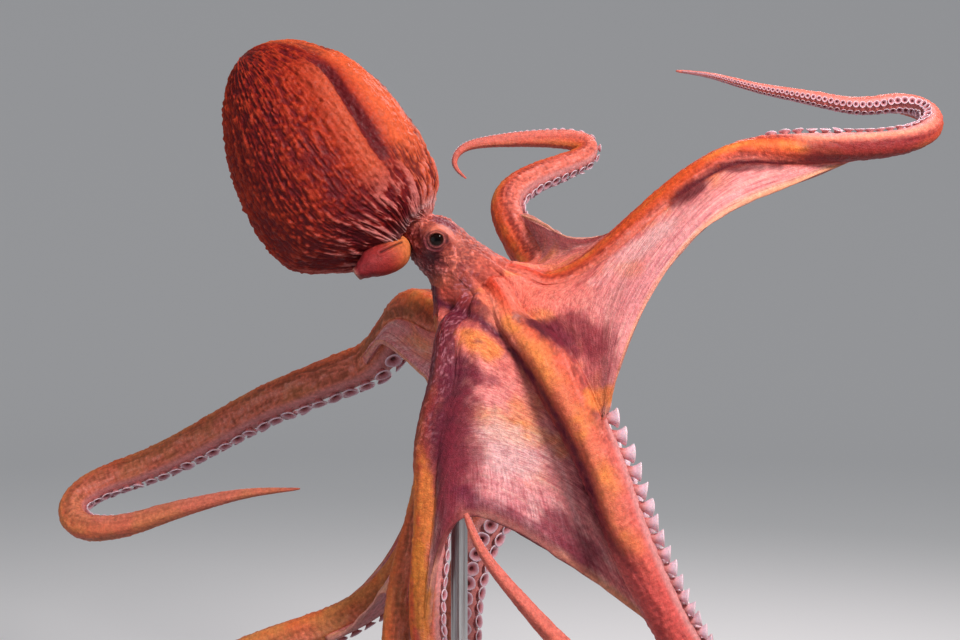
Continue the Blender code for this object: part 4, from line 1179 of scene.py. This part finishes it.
def paint_round_eye(col, p, f, side):
    """Lids and salmon brow, with painted shade in the socket, the lid creases, under the brow,
    and below and in front of the eye; x, y and q are mm level, up and outwards from the eye.
    """
    d = (p - eye_centre(side)) / MM
    x, y, q = d[:, 0], d[:, 2], (d @ RIGHT) * side
    e, brow = lid_rings(x, y)
    e = e + 9 * (q < -8)
    rag = 0.5 + 0.5 * noise(p / 0.005, 68)
    along_brow = 0.70 * (x - 8) - 0.72 * (y - 12)
    off_brow = 0.72 * (x - 8) + 0.70 * (y - 12)
    below = near(x, -4, 12) * near(y, -20, 9) * (q > -24)
    in_front = near(x, -15, 6) * near(y, -2, 12) * (q > -24)
    return lay(
        col,
        ("5a1424", near(e, 1.5, 0.65) * 0.85 * (1 - 0.6 * brow) * (0.5 + 0.5 * rag)),
        ("a8605e", near(e, 1.22, 0.10) * (0.75 - 0.75 * brow) * (0.2 + 0.8 * rag)),
        # dark at the edge of the opening and in the crease round it: painted shade
        ("2c0a10", near(e, 1.00, 0.10) + near(e, 1.50, 0.12) * 0.6 * (1 - brow) * rag),
        ("e87c62", near(x, 1, 10) * near(y, 12.5, 5) * (q > -14) * 0.85),
        ("e88472", near(along_brow, 12, 16) * near(off_brow, 3, 5) * (q > -14) * 0.75),
        # dark below the eye: painted shade
        ("3c0c1c", below * 0.75 * ramp(f["cloud"], 0.1, 0.5)),
        # dark line under the brow over the upper lid: painted shade
        ("4a1220", near(e, 1.36, 0.13) * brow * 0.75),
        # dark in front of the eye: painted shade
        ("4a1220", in_front * 0.65 * (0.4 + 0.6 * rag)))


def paint_ridge(col, p, f):
    """The second right arm's ridge, and the crease that follows it, darkened as painted shade."""
    off, far = beside_line(p, RIDGE_LINE, LEFTWARD)
    run = (1 - ramp(far, 0.75, 1.0)) * (1 - f["under"])
    rag = 0.55 + 0.45 * noise(p / 0.006, 66)
    top = near(off, -4, 15) * run
    return lay(
        col,
        ("ea7f5e", top * 0.75),
        ("f08c42", top * ramp(f["cloud"], 0.45, 0.72) * ramp(far, 0.13, 0.22) * 0.75),
        ("c23a34", near(off, 0, 12) * (1 - ramp(far, 0.06, 0.2)) * run * 0.7),
        # dark in the crease beside the ridge: painted shade
        ("560f28", near(off, 14.5, 6.5) * run * (0.55 + 0.6 * rag)),
        ("7a2040", near(off, 24, 9) * run * 0.45 * rag))


def paint(p, f, height):
    """Skin colour at each point."""
    # high is how far the relief stands up and low how far it sinks: the parts lay paler colour on raised skin
    # as painted highlight and darker colour in the hollows as painted shade
    high = np.clip(0.5 + height / (2.4 * MM), 0, 1)
    speck = 0.5 + 0.5 * fbm(p / 0.0045, 2, 62)
    f = dict(f, high=high, low=1 - high, cloud=0.5 + 0.5 * fbm(p / 0.035, 3, 61), speck=speck)
    col = coat(p, RED, (SALMON, np.full(len(p), 0.3)), ("e0928e", f["under"] * 0.8))
    for weight, part in (("armw", arm_paint), ("webw", web_paint), ("headw", head_paint),
                         ("mantlew", mantle_paint), ("siphonw", siphon_paint)):
        col = lay(col, (part(p, f), f[weight]))
    for side in (1, -1):
        col = paint_round_eye(col, p, f, side)
    col = paint_ridge(col, p, f)
    # a fine dark net with pale meshes
    veil = np.max([blot(p, patch) for patch in NETTED], axis=0)
    mesh = crests(p / 0.0052, 2, 70)
    col = lay(col, (DARK_NET, veil * 0.75), ("c87c88", veil * ramp(mesh, 0.50, 0.80) * 0.85))
    col = lay(col, *((patch["colour"], blot(p, patch)) for patch in MARKS))
    return col * (0.93 + 0.14 * speck[:, None])


# ------------------------------------------------------------ patches
def on_arm(name, s, phi):
    """A point of an arm's skin, s metres along it."""
    arm = next(q for q in ARMS if q["name"] == name)
    return section(arm, np.array([s]), math.radians(phi))[0]


def on_web(name, t, k):
    """A point of a web: share from its first arm to its second, share out."""
    i = [q["name"] for q in ARMS].index(name)
    face = web_grid(i)[0]
    row = min(len(face) - 1, int(round(k * ROWS_WEB)))
    col = int(round(np.arccos(1 - 2 * t) / math.pi * (N_WEB + 1) - 1))
    return face[row, min(max(col, 0), N_WEB - 1)]


def at(*mm):
    """A point given in mm from the crown."""
    return CROWN + MM * np.array(mm, float)


def patch(middle, towards, colour, long, wide, strength):
    """A patch of colour: its middle, a point it runs towards, and its half length and width (mm)."""
    return dict(at=middle, run=unit(towards - middle), colour=colour, long=long * MM, wide=wide * MM,
                strength=strength)


def blot(p, patch):
    """How strongly a soft-edged patch covers each point."""
    d = p - patch["at"]
    far = d @ patch["run"]
    across = np.sqrt(np.maximum((d ** 2).sum(1) - far ** 2, 0))
    edge = np.hypot(far / patch["long"], across / patch["wide"])
    out = np.zeros(len(p))
    m = edge < 2.2
    ragged = edge[m] * (1 + 0.45 * fbm(p[m] / 0.011, 3, 71))
    out[m] = patch["strength"] * (1 - ramp(ragged, 0.55, 1.25))
    return out


def netted_patches():
    """Where the skin has a dark net: below the eye, at the third arm's root and on the brow."""
    rows = (
        (at(-30, -70, -10), at(-40, -90, -60), 50, 22, 0.9),
        (at(-45, -105, -75), at(-42, -112, -130), 55, 24, 0.9),
        (at(-46, -112, -150), at(-50, -115, -200), 45, 18, 0.7),
        (at(-5, -85, -32), at(25, -100, -60), 34, 10, 0.7),
        (at(-46, -28, 88), at(-30, -34, 80), 20, 14, 0.8),
    )
    return [patch(a, b, None, *rest) for a, b, *rest in rows]


def colour_patches():
    """Patches of colour that this animal carries, and patches of painted shade and painted
    highlight on its webs.
    """
    rows = (
        (at(-5, -104, -56), at(14, -106, -66), GOLD, 30, 16, 0.85),
        (at(44, -108, -156), at(60, -110, -165), GOLD, 32, 15, 0.75),
        (at(18, -112, -148), at(50, -112, -160), "ee9a5a", 60, 18, 0.6),
        (at(-16, -112, -90), at(10, -112, -96), PURPLE, 34, 11, 0.75),
        # pale patch where the web bellies out: painted highlight
        (on_web("r2", 0.45, 0.66), on_web("r2", 0.6, 0.66), PALE, 55, 34, 0.6),
        # the next three: dark strips in the valley between the third right arm and the web, painted shade;
        # the third is partly the web's own red
        (on_web("r2", 0.92, 0.50), on_web("r2", 0.92, 0.3), PURPLE, 120, 12, 0.75),
        (on_web("r2", 0.86, 0.72), on_web("r2", 0.86, 0.5), "4a0e22", 140, 22, 0.85),
        (on_web("r2", 0.70, 0.82), on_web("r2", 0.76, 0.5), "8a2638", 110, 28, 0.75),
        (on_web("r2", 0.55, 0.97), on_web("r2", 0.35, 0.97), "6e1c38", 100, 15, 0.75),
        (on_web("r2", 0.25, 0.88), on_web("r2", 0.12, 0.94), PURPLE, 60, 18, 0.8),
        (at(72, -104, -40), at(100, -108, -62), "4e1226", 40, 18, 0.95),
        (at(106, -108, -44), at(135, -120, -60), "7c2434", 50, 27, 0.75),
        (at(128, -124, -78), at(128, -130, -110), "9a3440", 55, 22, 0.6),
        (at(-14, -82, -12), at(4, -90, -26), "5a1426", 28, 13, 0.7),
        (at(-46, -28, 88), at(-30, -34, 80), "6a2436", 22, 13, 0.55),
        (on_web("r1", 0.93, 0.60), on_web("r1", 0.93, 0.8), GOLD, 60, 13, 0.75),
        # pale band across the first web: painted highlight
        (at(150, -104, 42), at(234, -105, 91), PALE, 105, 16, 0.5),
        # the next two: maroon in the fold under the first right arm, painted shade
        (on_web("r1", 0.03, 0.56), on_web("r1", 0.03, 0.7), MAROON, 26, 13, 0.9),
        (on_web("r1", 0.03, 0.70), on_web("r1", 0.03, 0.8), MAROON, 60, 8, 0.8),
        (on_web("r1", 0.55, 0.62), on_web("r1", 0.40, 0.62), PINK, 50, 40, 0.5),
        (on_arm("r3", 0.26, -50), on_arm("r3", 0.32, -70), GOLD, 60, 11, 0.85),
        (on_arm("r3", 0.35, -60), on_arm("r3", 0.40, -75), "e08434", 75, 13, 0.85),
        (on_arm("r1", 0.20, 0), on_arm("r1", 0.30, 0), ORANGE, 110, 16, 0.7),
    )
    return [patch(*row) for row in rows]


# ------------------------------------------------------------ materials
def new_material(name, **values):
    m = bpy.data.materials.new(name)
    m.use_nodes = True
    shader = m.node_tree.nodes["Principled BSDF"]
    for key, value in values.items():
        shader.inputs[key.replace("_", " ")].default_value = value
    return m, m.node_tree, shader


def node(tree, kind, out, **values):
    """Adds a shader node and returns its output called out.

    A value is one of the node's own settings or one of its inputs, and a socket
    given for an input is linked to it; in_0, in_1, ... are inputs by number.
    """
    made = tree.nodes.new("ShaderNode" + kind)
    for key, value in values.items():
        if hasattr(made, key):
            setattr(made, key, value)
            continue
        socket = made.inputs[int(key[3:]) if key.startswith("in_") else key.replace("_", " ")]
        if isinstance(value, bpy.types.NodeSocket):
            tree.links.new(value, socket)
        else:
            socket.default_value = value
    return made.outputs[out]


def two_tones(tree, amount, dark, light):
    tone = tree.nodes.new("ShaderNodeValToRGB")
    tone.color_ramp.elements[0].color = (*dark, 1)
    tone.color_ramp.elements[1].color = (*light, 1)
    tree.links.new(amount, tone.inputs["Fac"])
    return tone.outputs["Color"]


def with_fine_lines(tree, colour):
    """The colour with hair-fine lines, across the webs and turning outwards near their rims."""
    lines = []
    for key in ("FlowAcross", "FlowDown"):
        place = node(tree, "Attribute", "Vector", attribute_name=key)
        lines.append(node(tree, "TexNoise", "Fac", Vector=place, Scale=1.0, Detail=2.0, Roughness=0.6,
                          Distortion=0.35))
    mix = tree.nodes.new("ShaderNodeSeparateXYZ")
    tree.links.new(node(tree, "Attribute", "Vector", attribute_name="FlowMix"), mix.inputs["Vector"])
    line = node(tree, "Mix", "Result", data_type="FLOAT", Factor=mix.outputs["X"], A=lines[0], B=lines[1])
    line = node(tree, "MapRange", "Result", Value=line, From_Min=0.36, From_Max=0.64,
                To_Min=-0.36, To_Max=0.30)
    share = node(tree, "Math", "Value", operation="MULTIPLY", in_0=line, in_1=mix.outputs["Y"])
    redder = node(tree, "VectorMath", "Vector", operation="MULTIPLY_ADD", in_0=share,
                  in_1=(0.55, 1.25, 1.10), in_2=(1.0, 1.0, 1.0))
    return node(tree, "VectorMath", "Vector", operation="MULTIPLY", in_0=colour, in_1=redder)


def flesh_material(name, roughness, bump, grain_scale, fine_scale, mottling, lined=False):
    """Wet skin: the painted colour, mottled, with grain and pores in relief."""
    m, tree, shader = new_material(name, Roughness=roughness, Subsurface_Weight=0.14, Subsurface_Scale=0.010,
                                   Subsurface_Radius=(1.0, 0.30, 0.18), Coat_Weight=0.03,
                                   Coat_Roughness=0.30, Specular_IOR_Level=0.18, Sheen_Weight=0.0)
    place = node(tree, "TexCoord", "Object")
    colour = node(tree, "Attribute", "Color", attribute_name="Paint")
    if lined:
        colour = with_fine_lines(tree, colour)
    spots = node(tree, "TexNoise", "Fac", Vector=place, Scale=grain_scale, Detail=5.0, Roughness=0.65)
    pores = node(tree, "TexVoronoi", "Distance", Vector=place, Scale=fine_scale)
    shade = node(tree, "MapRange", "Result", Value=spots, From_Min=0.35, From_Max=0.68,
                 To_Min=1 - mottling, To_Max=1 + 0.35 * mottling)
    colour = node(tree, "VectorMath", "Vector", operation="SCALE", in_0=colour, Scale=shade)
    rough = node(tree, "MapRange", "Result", Value=spots, To_Min=roughness - 0.10, To_Max=roughness + 0.14)
    coarse = node(tree, "Bump", "Normal", Height=spots, Strength=bump, Distance=0.0016)
    fine = node(tree, "Bump", "Normal", Height=pores, Normal=coarse, Strength=bump * 0.8, Distance=0.0009)
    tree.links.new(colour, shader.inputs["Base Color"])
    tree.links.new(rough, shader.inputs["Roughness"])
    tree.links.new(fine, shader.inputs["Normal"])
    return m


def set_paint(me, colours):
    layer = me.color_attributes.new("Paint", "FLOAT_COLOR", "POINT")
    rgba = np.ones((len(me.vertices), 4), np.float32)
    rgba[:, :3] = np.clip(colours, 0, 1)
    layer.data.foreach_set("color", rgba.ravel())


def set_flow(me, f):
    """Coordinates for fine lines, across the webs and arms and along them, and how they mix."""
    web = f["webw"] > 0.5
    none = 0 * f["webt"]

    def flow(on_web, on_arm, pitch):
        return np.stack([np.where(web, f["webt"] * on_web, f["side"] * on_arm),
                         np.where(web, 0, f["up"] * on_arm), f["along"] / pitch], 1)
    turn = np.where(web, f["comb"] * ramp(f["webk"], 0.60, 0.88), 0.35)
    faded = f["webw"] * (0.80 - 0.70 * ramp(f["webk"], 0.95, 0.99))
    here = np.maximum(faded, 0.45 * f["armw"] * ramp(f["suck"], 60, 90)) * (1 - f["under"] * 0.4)
    for key, values in (("FlowAcross", flow(14, 4, 0.0026)), ("FlowDown", flow(95, 12, 0.026)),
                        ("FlowMix", np.stack([turn, here, none], 1))):
        layer = me.attributes.new(key, "FLOAT_VECTOR", "POINT")
        layer.data.foreach_set("vector", np.ascontiguousarray(values, np.float32).ravel())


# ------------------------------------------------------------ skin
def fill_throat(cage):
    """Brings the skin below the head out to a straight line down to the arms."""
    v = np.array(cage.v)
    x, y, z = ((v - CROWN) / MM).T
    share = ramp(-x, 22, 40) * near(z, *THROAT_Z) * near(y, *THROAT_Y)
    v[:, 0] -= MM * share * np.clip(x + THROAT_OUT, 0, 30)
    cage.v = list(v)


def make_skin():
    cage = Cage()
    arms = cage_arms(cage)
    webs = cage_webs(cage, arms)
    cage_body(cage, arms, webs)
    fill_throat(cage)
    cage_siphon(cage)
    me = cage.mesh("skin_cage")
    fill_valleys(me, MELT_ROUNDS)
    ob = subdivided(me, "octopus_skin", SKIN_LEVELS)
    me = ob.data
    f = {k: numbers(me, k) for k in FIELDS}
    p = coords(me)
    h = relief(p, f)
    p = carve_lids(p + normals(me) * h[:, None])
    set_coords(me, p)
    set_paint(me, paint(p, f, h))
    set_flow(me, f)
    for k in FIELDS:
        me.attributes.remove(me.attributes[k])
    me.shade_smooth()
    me.materials.append(flesh_material("octopus_flesh", roughness=0.52, bump=0.60, grain_scale=210.0,
                                       fine_scale=700.0, mottling=0.30, lined=True))
    return ob


# ------------------------------------------------------------ suckers
def sucker_rows(arm, pace):
    """Places (s, side, radius) of an arm's suckers, from the mouth outwards."""
    s = SUCKER_START
    side = 1
    out = []
    while s < arm["length"] - 0.006:
        w = float(np.interp(s, arm["s"], arm["w"]))
        share = s / arm["length"]
        r = SUCKER_SIZE * w * (0.45 + 0.55 * min(1, s / 0.12)) * (1 - 0.12 * share)
        if r < SUCKER_LEAST:
            break
        out.append((s, side, r))
        s += r * pace
        side = -side
    return out


def make_suckers(arm, mat):
    profile = look_of(arm, "profile", SUCKER)
    tints = np.array([tint(c) for c in SUCKER_TINTS])
    verts, faces, colours = [], [], []
    rng = np.random.default_rng(7 + len(arm["name"]) * 13 + int(arm["length"] * 1e5) % 997)
    for s, side, r in sucker_rows(arm, look_of(arm, "pace", SUCKER_PACE)):
        # where it stands, and the ways it points and leans
        phi = math.radians(look_at(arm, s, "suckers", 180.0) + side * SUCKER_SPREAD)
        place = np.array([s])
        here = section(arm, place, phi)[0]
        along = unit(section(arm, place + 0.002, phi)[0] - here)
        out = unit(np.cross(section(arm, place, phi + 0.06)[0] - here, along))
        if out @ (here - arm_at(arm, place, "c")[0]) < 0:
            out = -out
        out = unit(out + 0.10 * rng.normal(size=3) + look_of(arm, "tilt", 0.0) * along)
        u = perp(along[None], out[None])[0]
        v = np.cross(out, u)
        # its rings, and the bottom of its cup
        count = 18 if r > 0.006 else 12 if r > 0.003 else 8
        a = np.arange(count) * 2 * math.pi / count
        ripple = 1 + 0.035 * np.sin(a * 3 + rng.uniform(0, 6)) + 0.02 * np.sin(a * 5 + rng.uniform(0, 6))
        spokes = ripple[:, None] * (np.cos(a)[:, None] * u + np.sin(a)[:, None] * v)
        start, rings = len(verts), len(profile) - 1
        for (wide, high), colour in zip(profile[:-1], tints):
            verts.extend(here + r * (wide * spokes + high * out))
            colours.extend([colour * (0.92 + 0.16 * rng.uniform())] * count)
        verts.append(here + r * profile[-1][1] * out)
        colours.append(tints[-1])
        faces += bands(start, rings, count)
        last = start + (rings - 1) * count
        faces += [(last + j, last + (j + 1) % count, last + count) for j in range(count)]
    me = solid_mesh("suckers_" + arm["name"], verts, faces)
    set_paint(me, np.array(colours))
    me.materials.append(mat)
    ob = new_object("suckers_" + arm["name"], me)
    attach(ob, "root")


# ------------------------------------------------------------ eyes
def make_eye(name, side, replaced):
    """Eyeball with a dark brown iris and a level slit pupil."""
    centre = eye_centre(side)
    out = side * RIGHT
    rings, count = EYE_RINGS, EYE_SPOKES
    turn = np.arange(count)[:, None] * 2 * math.pi / count
    round_ = np.cos(turn) * AXIS + np.sin(turn) * DORSAL
    verts = [centre + EYE_R * out]
    for th in np.linspace(0, math.pi, rings + 2)[1:-1]:
        verts.extend(centre + EYE_R * (math.cos(th) * out + math.sin(th) * round_))
    verts.append(centre - EYE_R * out)
    last = 1 + (rings - 1) * count
    faces = bands(1, rings, count)
    for j in range(count):
        k = (j + 1) % count
        faces += [(0, 1 + k, 1 + j), (len(verts) - 1, last + j, last + k)]
    me = solid_mesh(name, verts, faces)
    bm = bmesh.new()
    bm.from_mesh(me)
    bmesh.ops.recalc_face_normals(bm, faces=bm.faces)
    bm.to_mesh(me)
    bm.free()
    d = (coords(me) - centre) / EYE_R
    x, y = d[:, 0], d[:, 2]
    front = d @ out > 0
    iris = np.hypot(x, y)
    slit = np.hypot(x / 0.36, (y + 0.02) / 0.115)
    fleck = 0.5 + 0.5 * fbm(np.stack([np.arctan2(y, x) * 6, iris * 6, 0 * x], 1), 3, 81)
    set_paint(me, coat(
        d, "40221c",
        ("120605", front * (1 - ramp(iris, 0.66, 0.80))),
        ("38180c", front * near(iris, 0.50, 0.10) * (0.10 + 0.5 * fleck)),
        ("050304", front * (1 - ramp(slit, 0.92, 1.08)))))
    m, tree, shader = new_material(name + "_wet", Roughness=0.06, Specular_IOR_Level=0.12)
    place = node(tree, "TexCoord", "Object")
    colour = node(tree, "Attribute", "Color", attribute_name="Paint")
    veins = node(tree, "TexNoise", "Fac", Vector=place, Scale=900.0, Detail=3.0)
    dim = node(tree, "MapRange", "Result", Value=veins, To_Min=0.75, To_Max=1.2)
    veined = node(tree, "VectorMath", "Vector", operation="SCALE", in_0=colour, Scale=dim)
    tree.links.new(veined, shader.inputs["Base Color"])
    me.materials.append(m)
    ob = new_object(name, me)
    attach(ob, "root")
    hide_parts(replaced)


# ------------------------------------------------------------ stand
def base_coat():
    """Satin dark grey paint with a fine orange peel."""
    m, tree, shader = new_material("base_coat", Metallic=0.0, Roughness=0.38, Coat_Weight=0.3,
                                   Coat_Roughness=0.35)
    place = node(tree, "TexCoord", "Object")
    peel = node(tree, "TexNoise", "Fac", Vector=place, Scale=420.0, Detail=4.0)
    wear = node(tree, "TexNoise", "Fac", Vector=place, Scale=14.0, Detail=6.0)
    tone = two_tones(tree, wear, (0.012, 0.012, 0.014), (0.030, 0.030, 0.033))
    tree.links.new(tone, shader.inputs["Base Color"])
    rough = node(tree, "Bump", "Normal", Height=peel, Strength=0.25, Distance=0.0004)
    tree.links.new(rough, shader.inputs["Normal"])
    return m


def rod_steel():
    """Steel brushed along the rod."""
    m, tree, shader = new_material("rod_steel", Metallic=1.0, Roughness=0.3)
    place = node(tree, "TexCoord", "Object")
    stretch = node(tree, "Mapping", "Vector", Vector=place, Scale=(1.0, 1.0, 0.02))
    brush = node(tree, "TexNoise", "Fac", Vector=stretch, Scale=1500.0, Detail=3.0)
    tone = two_tones(tree, brush, (0.30, 0.30, 0.31), (0.55, 0.55, 0.56))
    tree.links.new(tone, shader.inputs["Base Color"])
    return m


def finish_stand():
    for name, mat in (("stand_base", base_coat()), ("stand_rod", rod_steel())):
        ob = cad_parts[name]
        ob = bpy.data.objects[ob] if isinstance(ob, str) else ob
        ob.data.materials.clear()
        ob.data.materials.append(mat)


# ------------------------------------------------------------ studio
def make_floor():
    """A pale floor that turns up into a wall all round, far from the model."""
    curve = np.linspace(0, math.pi / 2, 17)
    reach = [0.001, 2.0, 4.5] + [BOWL_FLAT + BOWL_CURVE * math.sin(a) for a in curve]
    rise = [0.0, 0.0, 0.0] + [BOWL_CURVE - BOWL_CURVE * math.cos(a) for a in curve]
    turns = 96
    verts = [(r * math.cos(2 * math.pi * k / turns), r * math.sin(2 * math.pi * k / turns), z)
             for r, z in zip(reach + [BOWL_FLAT + BOWL_CURVE], rise + [BOWL_HIGH]) for k in range(turns)]
    me = solid_mesh("studio_floor", verts, bands(0, len(verts) // turns, turns))
    paper, _, shader = new_material("studio_paper", Roughness=0.95, Specular_IOR_Level=0.1)
    shader.inputs["Base Color"].default_value = (0.84, 0.84, 0.84, 1)
    me.materials.append(paper)
    floor = new_object("studio_floor", me)
    # it neither shades the model nor tints it
    floor.visible_shadow = False
    floor.visible_diffuse = False


def make_lamp(name, at, aim, size, watts, colour):
    data = bpy.data.lights.new(name, "AREA")
    data.shape = "DISK"
    data.size = size
    data.energy = watts
    data.color = colour
    ob = new_object(name, data)
    ob.location = at
    ob.rotation_euler = (Vector(aim) - Vector(at)).to_track_quat("-Z", "Y").to_euler()


def make_studio():
    scene = bpy.context.scene
    make_floor()
    world = bpy.data.worlds.new("studio_air")
    world.use_nodes = True
    world.node_tree.nodes["Background"].inputs["Color"].default_value = (0.93, 0.95, 1.0, 1)
    world.node_tree.nodes["Background"].inputs["Strength"].default_value = 0.33
    scene.world = world
    make_lamp("key", (1.35, -1.9, 2.4), (0.05, 0, 0.80), 0.7, 100, (1.0, 0.96, 0.92))
    make_lamp("fill", (-1.6, -2.4, 0.9), (0, 0, 0.7), 2.0, 12, (0.90, 0.93, 1.0))
    make_lamp("rim", (0.9, 1.5, 2.2), (0.1, 0, 0.8), 0.8, 18, (1.0, 0.90, 0.94))
    lens = bpy.data.cameras.new("camera")
    lens.lens = 50
    lens.sensor_width = 36
    lens.clip_start = 0.05
    camera = new_object("camera", lens)
    camera.location = Vector(CROWN + np.array(CAMERA_FROM_CROWN))
    camera.rotation_euler = (math.radians(90), 0, 0)
    scene.camera = camera
    scene.view_settings.view_transform = "Standard"
    scene.view_settings.look = "None"


FLESH = tuple(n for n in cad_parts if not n.startswith(("stand_", "eye_")))

make_studio()
lay_out_arms()
MARKS = colour_patches()
NETTED = netted_patches()
RIDGE_LINE = line_through(ARM_RIDGE)
skin = make_skin()
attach(skin, "root")
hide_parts(*FLESH)
sucker_flesh = flesh_material("sucker_flesh", roughness=0.34, bump=0.25, grain_scale=400.0,
                              fine_scale=1100.0, mottling=0.18)
for arm in ARMS:
    make_suckers(arm, sucker_flesh)
make_eye("right_eyeball", 1, "eye_right")
make_eye("left_eyeball", -1, "eye_left")
finish_stand()
